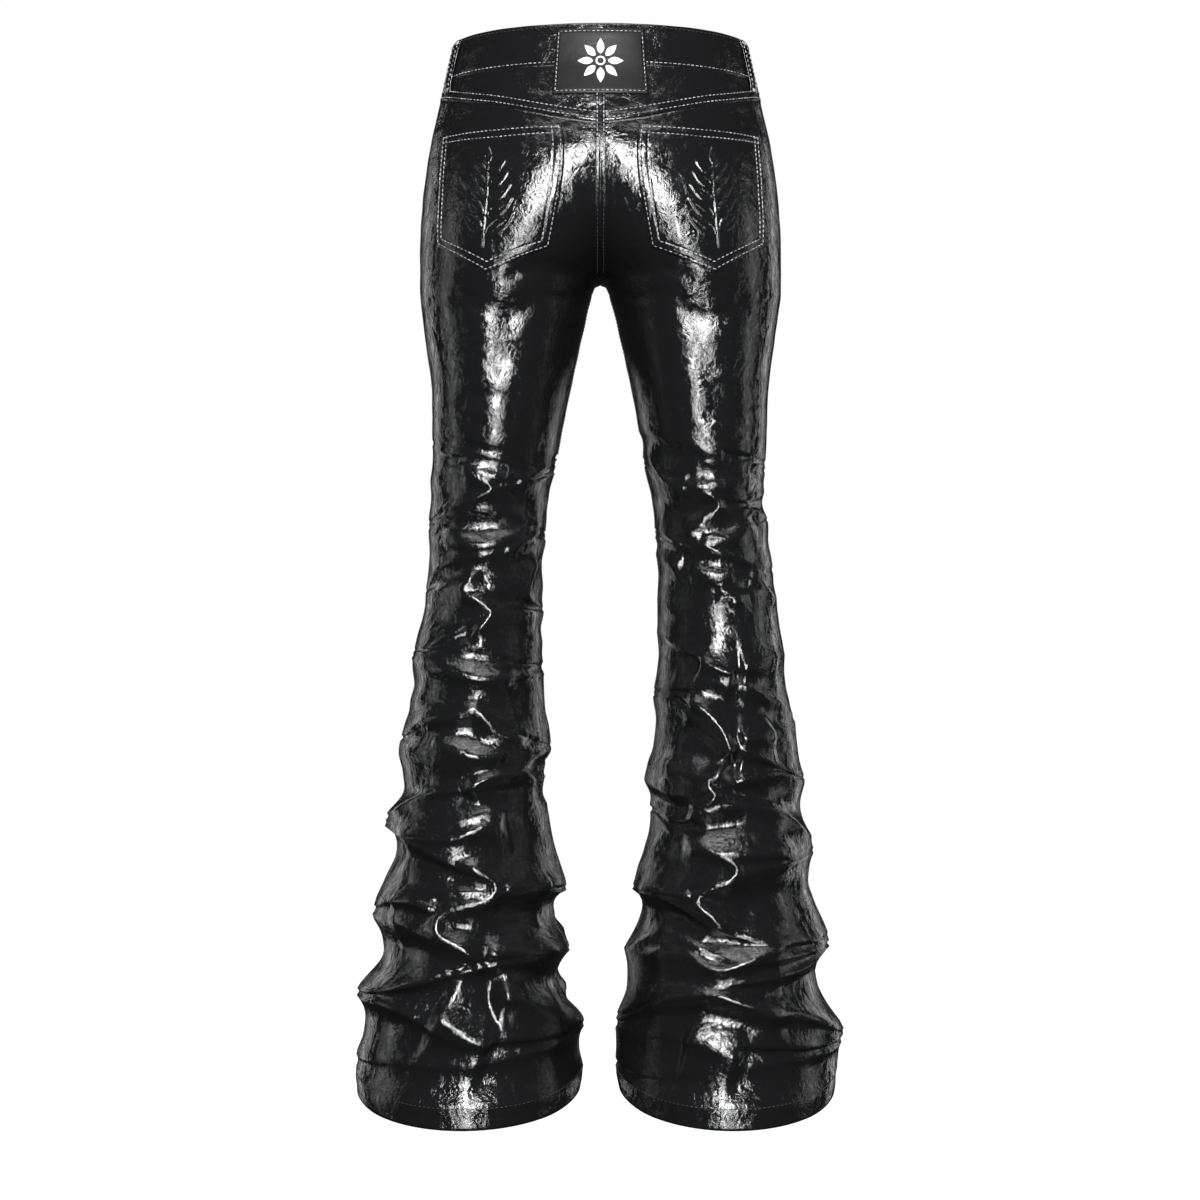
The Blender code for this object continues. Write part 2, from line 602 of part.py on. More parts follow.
def waist_button(finish):
    """Turned shank button on the lapped end of the waistband, its face towards -Y."""
    count = BUTTON_SIDES
    turn = np.linspace(0, 2 * math.pi, count, endpoint=False)
    rings = [
        np.column_stack(
            [r * BUTTON_RADIUS * np.cos(turn), np.full(count, -h * BUTTON_HEIGHT), r * BUTTON_RADIUS * np.sin(turn)]
        )
        for r, h in BUTTON_PROFILE[1:-1]
    ]
    points = np.concatenate([*rings, [[0, 0, 0]], [[0, -BUTTON_PROFILE[-1][1] * BUTTON_HEIGHT, 0]]])
    faces = []
    for ring in range(len(rings) - 1):
        for k in range(count):
            here, after = ring * count + k, ring * count + (k + 1) % count
            faces.append([here, after, after + count, here + count])
    base, cap, top = len(points) - 2, len(points) - 1, (len(rings) - 1) * count
    faces += [[base, (k + 1) % count, k] for k in range(count)]
    faces += [[cap, top + k, top + (k + 1) % count] for k in range(count)]
    reach = WAISTBAND_PROUD + WAISTBAND_CLOTH + SEAM_GAP + LAID_GAP
    depths, _, fronts = np.array(SIDE_OUTLINE, float).T
    above, middle, below = smooth_through(
        depths, fronts, 0.5 * WAISTBAND_HEIGHT + BUTTON_RADIUS * np.array([-1.0, 0.0, 1.0])
    )
    lean = math.atan2(below - above, 2 * BUTTON_RADIUS)
    button = add_object("waist_button", points * MM, faces, finish)
    middle += reach / math.cos(lean)
    button.location = (BUTTON_X * MM, -middle * MM, -0.5 * WAISTBAND_HEIGHT * MM)
    button.rotation_euler = (-lean, 0, 0)
    return button


def clear_scene():
    for thing in list(bpy.data.objects):
        bpy.data.objects.remove(thing, do_unlink=True)


def main():
    clear_scene()
    coated = material("coated_black_cloth", (0.012, 0.012, 0.013), 0.14)
    patch = material("matte_black_patch", (0.015, 0.015, 0.015), 0.45)
    metal = material("dark_metal", (0.16, 0.16, 0.17), 0.3, 1.0)
    left = Half(LEFT, LEFT_OUTLINE, LEFT_FOLDS)
    right = Half(RIGHT, RIGHT_OUTLINE, RIGHT_FOLDS)
    for word, half in (("left", left), ("right", right)):
        yoke(f"yoke_{word}", half, coated)
        leg_panel(f"back_leg_{word}", half, False, coated)
        leg_panel(f"front_leg_{word}", half, True, coated)
        back_pocket(f"back_pocket_{word}", half, coated)
        pocket_facing(f"pocket_facing_{word}", half, coated)
        belt_loop(f"belt_loop_back_{word}", half, BACK_LOOP_ANGLE, coated)
        belt_loop(f"belt_loop_front_{word}", half, FRONT_LOOP_ANGLE, coated)
    waistband(left, right, coated)
    waist_patch(left, right, patch)
    fly_shield(left, right, coated)
    waist_button(metal)


main()
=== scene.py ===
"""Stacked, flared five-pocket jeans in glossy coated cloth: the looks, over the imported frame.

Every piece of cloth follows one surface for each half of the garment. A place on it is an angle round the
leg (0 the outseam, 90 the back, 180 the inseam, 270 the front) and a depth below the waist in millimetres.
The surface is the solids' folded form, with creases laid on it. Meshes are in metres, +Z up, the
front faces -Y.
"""

import math

import bpy
import numpy as np
from bpy.props import FloatProperty, FloatVectorProperty, PointerProperty
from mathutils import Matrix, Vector


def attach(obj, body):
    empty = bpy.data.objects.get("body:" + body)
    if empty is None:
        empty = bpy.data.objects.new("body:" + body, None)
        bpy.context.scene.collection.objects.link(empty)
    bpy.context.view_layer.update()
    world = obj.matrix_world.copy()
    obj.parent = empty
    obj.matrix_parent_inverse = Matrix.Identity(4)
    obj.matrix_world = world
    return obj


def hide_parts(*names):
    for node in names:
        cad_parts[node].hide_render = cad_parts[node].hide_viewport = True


bl_info = {
    "name": "Stacked flared jeans",
    "version": (1, 0, 0),
    "blender": (4, 5, 0),
    "location": "3D View > Sidebar > Jeans",
    "description": "Builds glossy coated jeans whose long flared legs stack in crosswise folds",
    "category": "Object",
}

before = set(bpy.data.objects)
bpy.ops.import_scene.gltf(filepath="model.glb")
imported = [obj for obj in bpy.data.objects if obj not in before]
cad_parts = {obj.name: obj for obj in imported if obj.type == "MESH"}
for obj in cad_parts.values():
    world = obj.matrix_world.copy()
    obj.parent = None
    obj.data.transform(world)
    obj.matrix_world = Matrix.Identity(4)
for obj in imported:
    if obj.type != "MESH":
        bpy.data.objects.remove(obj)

MM = 0.001
LEFT, RIGHT = 1.0, -1.0  # the wearer's left is at +X

# Sizes of the cut, in millimetres and degrees.
SEAM_GAP = 0.3
WAISTBAND_HEIGHT = 40.0
HEM_HEIGHT = 22.0
SEAT_SPLIT_START, FORK = 80.0, 235.0
BACK_SPLIT_POWER, FRONT_SPLIT_POWER = 1.5, 2.6
FOLD_CLEARANCE = 3.0
STEEPEST_HOLLOW = 0.36
CREST_SHARPNESS = 1.25
PATCH_TOP, PATCH_BOTTOM, PATCH_HALF_WIDTH = 5.0, 70.0, 44.5
LOOP_TOP, LOOP_BOTTOM, LOOP_WIDTH, LOOP_RISE = 1.0, 54.0, 12.0, 1.9
BACK_LOOP_ANGLE, FRONT_LOOP_ANGLE = 20.0, 308.0
POCKET_MOUTH_ANGLE, POCKET_MOUTH_DROP = 48.0, 55.0
FACING_BOTTOM, FACING_BEHIND, FACING_CLOTH = 125.0, 2.4, 1.1
FACING_FRONT_ANGLE = 300.0
SHIELD_BOTTOM, SHIELD_LEFT, SHIELD_RIGHT, SHIELD_BEHIND = 160.0, 34.0, -12.0, 3.5
UNDER_BAND = 4.0  # how far the pieces behind the front reach up inside the waistband
BAND_LAP_END, BAND_UNDER_END, BAND_LAP_RAMP = 20.0, 24.0, 14.0
BAND_PROUD, BAND_CLOTH = 0.5, 2.4
YOKE_PROUD = 0.4
FELL_HALF_WIDTH = 4.8
POCKET_CLEARANCE, SPRIG_HEIGHT = 0.25, 1.1
LEAF_ROOTS = (106, 90, 75, 61, 48)  # each pair of the sprig's leaves: its root, below the pocket's top
LEAF_LENGTH, LEAF_WIDTH, LEAF_SPREAD = 34.0, 14.0, 52.0  # of the lowest pair, and its angle to the stem
LEAF_SHORTER, LEAF_NARROWER = 3.4, 1.4  # each pair than the one below it
MOTIF_START, MOTIF_LEAF_LENGTH, MOTIF_LEAF_HALF_WIDTH = 7.0, 15.0, 3.6
MOTIF_RING = (3.0, 4.6)  # inner and outer radius
POCKET_FLAT = {"width_top": 140.0, "width_bottom": 132.0, "side": 114.0, "tip": 142.0}

# Sewing: how far each row lies from the edge or seam beside it, in millimetres.
EDGE_SEWING, SECOND_SEWING = 3.0, 9.0
BAND_SEWING, PATCH_SEWING, FELL_SEWING = 2.6, 2.6, 3.1
FELL_PLACES, PALE_FELL_PLACES = 120, 66  # along the centre back, and how many of them are sewn pale
POCKET_SEWING, POCKET_GROOVES, POCKET_SEWN_DEPTH = (3.0, 9.4), (2.6, 9.2), 125.0
MOUTH_SEWING, MOUTH_SEWN = (3.0, 8.5), (358.0, 312.5)  # the second are angles
INSEAM_SEWN_TO, INSEAM_READ_AT = 1030.0, 1000.0  # depths; the inseam read at the second ends the hem's row
LEG_RADIUS = 80.0  # turns a distance beside the inseam into an angle
CLOSING_WIDTH, CLOSING_BEND, CLOSING_END, CLOSING_ROWS_APART = 31.0, 115.0, 156.0, 5.0
INSEAM_STITCH = (2.9, 0.9, 0.7)  # a stitch's length, the room after it and the width of its thread
PATCH_STITCH = (2.9, 1.3, 0.9)
BAR_TACK = (9.0, 0.2, 0.8)
BAR_TACK_PLACES, BAR_TACK_STEP, BAR_TACK_REACH = (0.055, 0.945), 0.012, 4.6  # shares of a loop's length
LOOP_SEWING = 3.9

# How finely the pieces are meshed.
LEG_COLUMNS = {"back": 99, "front": 71}
POCKET_GRID = 161
FACING_GRID = 40
STITCH_SIDES, STITCH_RINGS = 6, 4

# The photograph's frame: the pixel that the camera looks at, how far it stands and how far below the waist.
PHOTO_MIDDLE = 600.0
CAMERA_DISTANCE, CAMERA_DOWN, CAMERA_ACROSS = 2300.0, 552.0, 0.5
SENSOR_WIDTH, PHOTO_WIDTH = 36.0, 1.2  # of the lens, and what the photograph spans in metres
FLOOR_REACH = 6.0  # metres

# Outline from the front: depth below the waist, then outer and inner edge from the centre line.
HIP_OUTLINE = (
    (0, 147, 0), (52, 159, 0), (102, 170, 0), (152, 177, 0), (202, 180, 0), (235, 180, 0), (237, 180, 3),
    (241, 180, 6),
)
LEFT_OUTLINE = HIP_OUTLINE + (
    (292, 175, 19), (352, 168, 32), (392, 168, 40), (432, 170, 47), (480, 172, 54), (545, 175, 57),
    (600, 187, 57), (660, 194, 53), (700, 202, 49), (737, 208, 56), (772, 215, 48), (802, 219, 42),
    (835, 224, 34), (870, 229, 33), (895, 233, 31), (942, 244, 25), (972, 245, 16), (1010, 244, 17),
    (1057, 241, 24),
)
RIGHT_OUTLINE = HIP_OUTLINE + (
    (292, 174, 20), (352, 167, 33), (392, 166, 40), (450, 164, 48), (482, 169, 54), (545, 175, 56),
    (602, 184, 56), (652, 190, 52), (700, 200, 49), (732, 204, 43), (762, 208, 49), (800, 213, 38),
    (832, 216, 33), (887, 228, 27), (907, 231, 22), (945, 238, 20), (982, 243, 14), (1020, 236, 16),
    (1057, 230, 23),
)
# Outline from the side: depth below the waist, then how far the back and the front reach from the middle.
SIDE_OUTLINE = (
    (0, 98, 108), (40, 105, 112), (80, 117, 112), (130, 130, 108), (172, 132, 104), (205, 127, 100),
    (235, 118, 97), (272, 107, 94), (352, 92, 88), (432, 78, 82), (480, 72, 79), (545, 74, 78),
    (600, 80, 80), (700, 90, 86), (770, 97, 92), (870, 106, 104), (942, 113, 114), (1057, 112, 122),
)

# Lines round the leg that fix its form. The first five columns say how far below the waist the line lies at
# the outseam, outer back, back, inner back and inseam. The next three are the depth of the hollow below it,
# at the outseam, back and inseam, and the last says where that hollow is deepest, as a share of the way to
# the next line.
FOLD_COLUMNS = 9
SEAT_LINES = ((56, 73, 98, 98, 98, 0, 0, 0, 0.5), (228, 232, 235, 235, 235, 0, 0, 0, 0.5))
LEFT_FOLDS = SEAT_LINES + (
    (240, 250, 250, 255, 245, 0, 4, 2, 0.40),
    (246, 268, 278, 266, 252, 0, 0, 0, 0.50),
    (392, 392, 404, 420, 406, 1, 3, 2, 0.50),
    (398, 408, 412, 424, 412, 1, 7, 1, 0.40),
    (430, 425, 434, 431, 420, 1, 4, 1, 0.50),
    (472, 463, 446, 437, 426, 1, 6, 2, 0.40),
    (477, 469, 464, 473, 482, 1, 9, 1, 0.45),
    (482, 494, 500, 491, 487, 2, 3, 1, 0.50),
    (540, 517, 509, 499, 493, 1, 8, 2, 0.40),
    (545, 542, 538, 548, 558, 2, 8, 1, 0.50),
    (600, 596, 570, 563, 564, 1, 8, 2, 0.45),
    (605, 602, 598, 610, 614, 1, 8, 2, 0.40),
    (610, 620, 628, 628, 626, 5, 8, 2, 0.30),
    (687, 670, 657, 681, 694, 2, 10, 1, 0.40),
    (693, 697, 700, 701, 700, 12, 8, 9, 0.65),
    (765, 745, 734, 727, 728, 2, 8, 3, 0.45),
    (772, 777, 765, 751, 755, 1, 12, 3, 0.35),
    (778, 785, 812, 829, 837, 15, 8, 1, 0.28),
    (857, 841, 833, 834, 842, 2, 13, 14, 0.32),
    (866, 864, 886, 894, 897, 18, 8, 1, 0.50),
    (940, 930, 908, 899, 902, 2, 14, 16, 0.40),
    (947, 946, 972, 975, 972, 10, 7, 1, 0.40),
    (1006, 1000, 997, 986, 978, 1, 4, 5, 0.40),
)
RIGHT_FOLDS = SEAT_LINES + (
    (241, 250, 251, 255, 244, 0, 4, 2, 0.40),
    (248, 262, 275, 267, 252, 0, 0, 0, 0.50),
    (412, 410, 402, 394, 384, 1, 6, 2, 0.40),
    (420, 418, 420, 429, 410, 1, 7, 1, 0.40),
    (426, 436, 443, 434, 415, 1, 3, 1, 0.50),
    (444, 454, 450, 438, 420, 3, 6, 3, 0.50),
    (470, 464, 468, 489, 480, 1, 9, 1, 0.45),
    (474, 484, 499, 493, 484, 2, 3, 1, 0.50),
    (518, 519, 504, 498, 489, 1, 8, 2, 0.45),
    (526, 528, 535, 521, 506, 1, 5, 2, 0.50),
    (550, 546, 552, 562, 552, 1, 3, 1, 0.50),
    (607, 618, 617, 599, 584, 3, 7, 2, 0.40),
    (666, 647, 632, 639, 640, 1, 10, 1, 0.45),
    (674, 685, 675, 646, 644, 3, 6, 1, 0.50),
    (727, 715, 690, 655, 649, 1, 9, 4, 0.40),
    (732, 720, 729, 741, 730, 8, 8, 4, 0.55),
    (788, 760, 750, 767, 757, 1, 12, 2, 0.45),
    (800, 802, 791, 778, 764, 1, 9, 5, 0.40),
    (805, 806, 818, 834, 836, 8, 12, 1, 0.40),
    (884, 885, 874, 842, 841, 1, 9, 11, 0.30),
    (892, 897, 897, 876, 900, 2, 10, 6, 0.40),
    (898, 911, 920, 936, 964, 20, 9, 1, 0.40),
    (980, 957, 937, 945, 970, 1, 10, 2, 0.40),
    (986, 986, 977, 971, 980, 2, 6, 1, 0.40),
    (994, 993, 999, 1012, 1010, 2, 3, 2, 0.40),
)
HEM_EDGE = (1038, 1052, 1057, 1052, 1038, 1034, 1032, 1034)  # every 45 degrees, from the outseam by the back
FRONT_COPIES_BACK = 0.7
FRONT_DRIFT, FRONT_DRIFT_LENGTH, FRONT_DRIFT_FROM = 9.0, 150.0, 257.0
FRONT_DEPTH_AT_KNEE, FRONT_DEPTH_AT_HEM = 0.35, 0.85
KNEE, SHIN = 480.0, 640.0

# Creases on the back of each leg, laid along places read in the photograph (pixel across and down).
# Each has its height in millimetres (a ridge above 0, a trough below it) and its reach above and below its
# line.
LEFT_CREASES = (
    (-2.5, 9, 7, (500, 277), (547, 266), (595, 275)),
    (-2.5, 8, 10, (442, 298), (470, 300), (507, 313), (532, 304), (542, 294)),
    (-3.6, 22, 22, (518, 292), (509, 330), (501, 360), (495, 390)),
    (2.2, 9, 12, (466, 330), (500, 339), (534, 325)),
    (2.2, 8, 11, (472, 364), (498, 373), (522, 361)),
    (-2.4, 8, 8, (452, 400), (490, 394), (528, 402)),
    (2.0, 8, 6, (466, 424), (480, 411), (497, 407), (513, 415)),
    (-2.5, 5, 5, (436, 440), (468, 445), (493, 452)),
    (2.5, 4, 6, (452, 462), (489, 476), (526, 473)),
    (2.5, 4, 7, (450, 464), (474, 477), (492, 488), (466, 502), (432, 516)),
    (3.0, 4, 7, (433, 525), (455, 538), (476, 546), (505, 540), (530, 529), (548, 522)),
    (-2.5, 5, 4, (440, 518), (472, 509), (515, 514)),
    (-2.5, 5, 5, (433, 548), (460, 557), (480, 556)),
    (2.0, 5, 5, (557, 460), (535, 474), (515, 486)),
    (2.0, 5, 5, (548, 527), (522, 543), (500, 556)),
    (1.6, 4, 4, (541, 554), (534, 575), (526, 599)),
    (3.0, 4, 6, (489, 567), (466, 581), (462, 592), (480, 602), (492, 612), (482, 626), (462, 641)),
    (-2.5, 5, 4, (466, 587), (505, 593), (536, 598)),
    (3.0, 5, 8, (404, 648), (425, 659), (452, 671), (480, 679), (505, 677), (528, 671)),
    (-2.0, 6, 5, (420, 650), (470, 655), (516, 661)),
    (2.5, 4, 6, (405, 706), (424, 719), (448, 717), (472, 710), (486, 719), (497, 730), (517, 738),
     (547, 741)),
    (3.0, 5, 7, (420, 734), (446, 748), (477, 757), (500, 756), (519, 750)),
    (-2.5, 6, 5, (424, 725), (455, 731), (482, 740)),
    (2.5, 5, 7, (458, 797), (474, 786), (490, 779), (510, 776), (529, 775), (548, 797)),
    (-2.5, 6, 6, (400, 790), (440, 801), (470, 808)),
    (3.6, 6, 10, (383, 824), (401, 836), (425, 840), (448, 840), (470, 833), (493, 824), (519, 808)),
    (4.2, 6, 8, (448, 840), (450, 852), (460, 863), (481, 873), (495, 882), (497, 891), (487, 902),
     (460, 908), (440, 914), (434, 926), (440, 938), (464, 951), (479, 960), (479, 971), (468, 985)),
    (-3.0, 7, 6, (398, 858), (430, 868), (452, 880), (462, 890)),
    (-3.5, 7, 8, (560, 845), (530, 852), (504, 862)),
    (3.0, 4, 7, (380, 900), (412, 903), (440, 914)),
    (3.0, 4, 8, (497, 891), (517, 887), (540, 886), (563, 884)),
    (-3.5, 8, 8, (578, 912), (545, 916), (510, 922), (478, 928)),
    (-2.0, 12, 11, (368, 940), (400, 945), (430, 954), (446, 966)),
    (2.5, 4, 6, (575, 949), (534, 953), (500, 953), (479, 962)),
    (2.4, 9, 11, (424, 1012), (446, 1026), (470, 1040), (500, 1052)),
    (2.2, 9, 10, (578, 1018), (548, 1012), (520, 1000), (492, 992)),
    (-2.5, 7, 7, (575, 990), (545, 982), (515, 972)),
)
RIGHT_CREASES = (
    (-2.5, 9, 7, (606, 275), (654, 266), (701, 277)),
    (-2.5, 8, 10, (670, 302), (690, 311), (716, 314), (740, 304), (754, 294)),
    (-3.6, 24, 24, (690, 292), (702, 340), (712, 390), (718, 440)),
    (2.2, 9, 12, (668, 336), (700, 344), (734, 330)),
    (2.2, 8, 11, (676, 372), (706, 381), (734, 368)),
    (2.0, 8, 11, (682, 408), (708, 416), (738, 404)),
    (2.0, 7, 5, (676, 436), (695, 446), (714, 453), (730, 457)),
    (3.0, 4, 7, (680, 481), (697, 487), (717, 487), (742, 481), (760, 477)),
    (-2.5, 5, 5, (690, 468), (726, 460), (750, 464)),
    (2.8, 4, 5, (682, 485), (702, 492), (717, 499), (718, 509), (702, 522), (690, 534), (708, 547),
     (730, 556), (740, 572)),
    (2.5, 4, 6, (690, 537), (712, 540), (733, 537), (747, 527), (760, 515)),
    (-2.5, 5, 4, (700, 520), (735, 512), (752, 510)),
    (2.0, 4, 6, (684, 566), (710, 574), (742, 574)),
    (2.0, 4, 4, (712, 588), (727, 592), (740, 596), (727, 608)),
    (2.0, 5, 5, (642, 447), (652, 464), (664, 480), (692, 495)),
    (2.0, 5, 5, (655, 523), (668, 536), (685, 548)),
    (1.6, 4, 4, (657, 554), (667, 562), (680, 568)),
    (2.0, 6, 6, (752, 572), (762, 582), (772, 594), (777, 606)),
    (2.0, 5, 7, (738, 668), (762, 664), (785, 652)),
    (3.0, 4, 7, (694, 656), (716, 668), (741, 677)),
    (3.0, 5, 6, (678, 690), (700, 708), (722, 730), (730, 750), (736, 768)),
    (2.5, 5, 7, (736, 738), (756, 738), (783, 731)),
    (-3.0, 8, 7, (715, 712), (748, 706), (780, 716)),
    (-3.0, 7, 7, (668, 752), (692, 752), (716, 762)),
    (3.0, 4, 7, (654, 757), (676, 771), (707, 778), (735, 768)),
    (3.0, 4, 6, (736, 767), (720, 773), (708, 780), (709, 789), (715, 796), (702, 808), (677, 822)),
    (-3.5, 8, 7, (704, 832), (740, 826), (790, 834)),
    (3.6, 6, 10, (811, 846), (780, 852), (743, 855), (712, 851), (690, 844), (675, 831)),
    (4.2, 6, 8, (676, 831), (690, 844), (722, 857), (738, 867), (731, 881), (706, 891), (696, 900),
     (703, 911), (722, 926), (736, 948)),
    (-3.5, 8, 7, (640, 852), (672, 862), (702, 872)),
    (3.0, 4, 7, (628, 884), (661, 891), (700, 898)),
    (-3.5, 8, 8, (812, 895), (775, 902), (742, 912)),
    (3.0, 4, 8, (620, 952), (652, 954), (684, 955), (714, 970), (743, 965), (775, 951), (812, 941)),
    (-3.5, 8, 8, (630, 922), (665, 928), (695, 940)),
    (-2.4, 10, 10, (625, 975), (665, 980), (705, 986), (750, 984), (790, 975)),
    (3.0, 4, 7, (622, 1012), (643, 1007), (668, 999), (694, 995), (718, 996), (743, 1004), (774, 1016),
     (806, 1027)),
    (2.2, 9, 11, (676, 1034), (698, 1042), (724, 1054), (750, 1062)),
    (-2.5, 7, 7, (735, 1030), (768, 1042), (800, 1056)),
)
CREASE_ROUNDING = 1.1  # radius of a ridge's crest
CREASE_FADE = 0.2  # share of a crease's length over which it fades in and out
TROUGHS_MILD_BELOW, MILD_TROUGH = 380.0, 0.45
SEAT_FOLD_EASED = 0.75  # how much of the fold under the seat is left to the laid creases
SEAT_FOLD_ENDS = (300.0, 280.0)  # depths over which that begins, going up
CALM_AT_HEM, CALM_AT_WAIST = (0.0, 14.0), (30.0, 70.0)  # creases come in above the hem and below the waist
CREST_RISE = 0.45  # a ridge's own height, as a share
CREST_SPREAD, CREST_REACH = 3.1, 3.6  # how far a ridge holds the cloth up out of hollows, in its widths
CREASE_POCKETS = ((0, 380, 450, 600, 700, 1000, 1034), (0, 0, 4.5, 6.0, 9.5, 10.5, 0))  # depth, least hollow
FRONT_CREASE_SHARE, FRONT_CREASE_DROP, FRONT_CREASE_SHIFT = 0.8, 17.0, 9.0  # the front's: lower and askew
RIPPLES, RIPPLE_HEIGHT = 22, 0.16
RIPPLES_ABOVE_KNEE, RIPPLES_ADDED_BELOW, RIPPLES_GROW = 0.35, 0.9, (360.0, 560.0)

POCKET_CORNERS = {  # depth below the waist, distance from the centre line
    "outer_top": (99, 153),
    "inner_top": (101, 37),
    "outer_bottom": (210, 157),
    "inner_bottom": (217, 48),
    "tip": (241, 109),
}


def smooth_through(places, values, at):
    """Cubic curve through (places, values) that never swings past a value, read at the given places."""
    places, values = np.asarray(places, float), np.asarray(values, float)
    steps = np.diff(places)
    slopes = np.diff(values) / steps
    product = slopes[:-1] * slopes[1:]
    total = np.where(product > 0, slopes[:-1] + slopes[1:], 1.0)
    inner = np.where(product > 0, 2 * product / total, 0.0)
    tangents = np.concatenate([slopes[:1], inner, slopes[-1:]])
    at = np.clip(at, places[0], places[-1])
    index = np.clip(np.searchsorted(places, at, side="right") - 1, 0, len(steps) - 1)
    h = steps[index]
    t = (at - places[index]) / h
    return (
        values[index] * (1 + 2 * t) * (1 - t) ** 2
        + tangents[index] * h * t * (1 - t) ** 2
        + values[index + 1] * t * t * (3 - 2 * t)
        + tangents[index + 1] * h * t * t * (t - 1)
    )


def round_the_leg(values, degrees):
    """Rows of evenly spaced values round the leg, read at any angle by a periodic Catmull-Rom cubic."""
    values = np.asarray(values, float)
    count = values.shape[1]
    place = np.asarray(degrees, float) * count / 360.0
    index = np.floor(place).astype(int)
    t = place - index
    before, here, after, beyond = (values[:, (index + k) % count] for k in (-1, 0, 1, 2))
    third = 3 * (here - after) + beyond - before
    second = 2 * before - 5 * here + 4 * after - beyond
    return here + 0.5 * t * (after - before + t * (second + t * third))


def curve_through(points, count):
    """Catmull-Rom curve through a few points, read at evenly spaced places along it."""
    points = np.asarray(points, float)
    ends = np.vstack([2 * points[0] - points[1], points, 2 * points[-1] - points[-2]])
    lengths = np.concatenate([[0], np.cumsum(np.linalg.norm(np.diff(points, axis=0), axis=1))])
    at = np.interp(np.linspace(0, lengths[-1], count), lengths, np.arange(len(points)))
    index = np.clip(np.floor(at).astype(int), 0, len(points) - 2)
    t = (at - index)[:, None]
    a, b, c, d = (ends[index + k] for k in range(4))
    return b + 0.5 * t * (c - a + t * (2 * a - 5 * b + 4 * c - d + t * (3 * (b - c) + d - a)))


def smooth_step(low, high, at):
    """0 below low, 1 above high, and a smooth rise between them."""
    t = np.clip((at - low) / (high - low), 0, 1)
    return t * t * (3 - 2 * t)


def unit(vectors):
    """Vectors made one long."""
    return vectors / np.maximum(np.linalg.norm(vectors, axis=-1, keepdims=True), 1e-12)


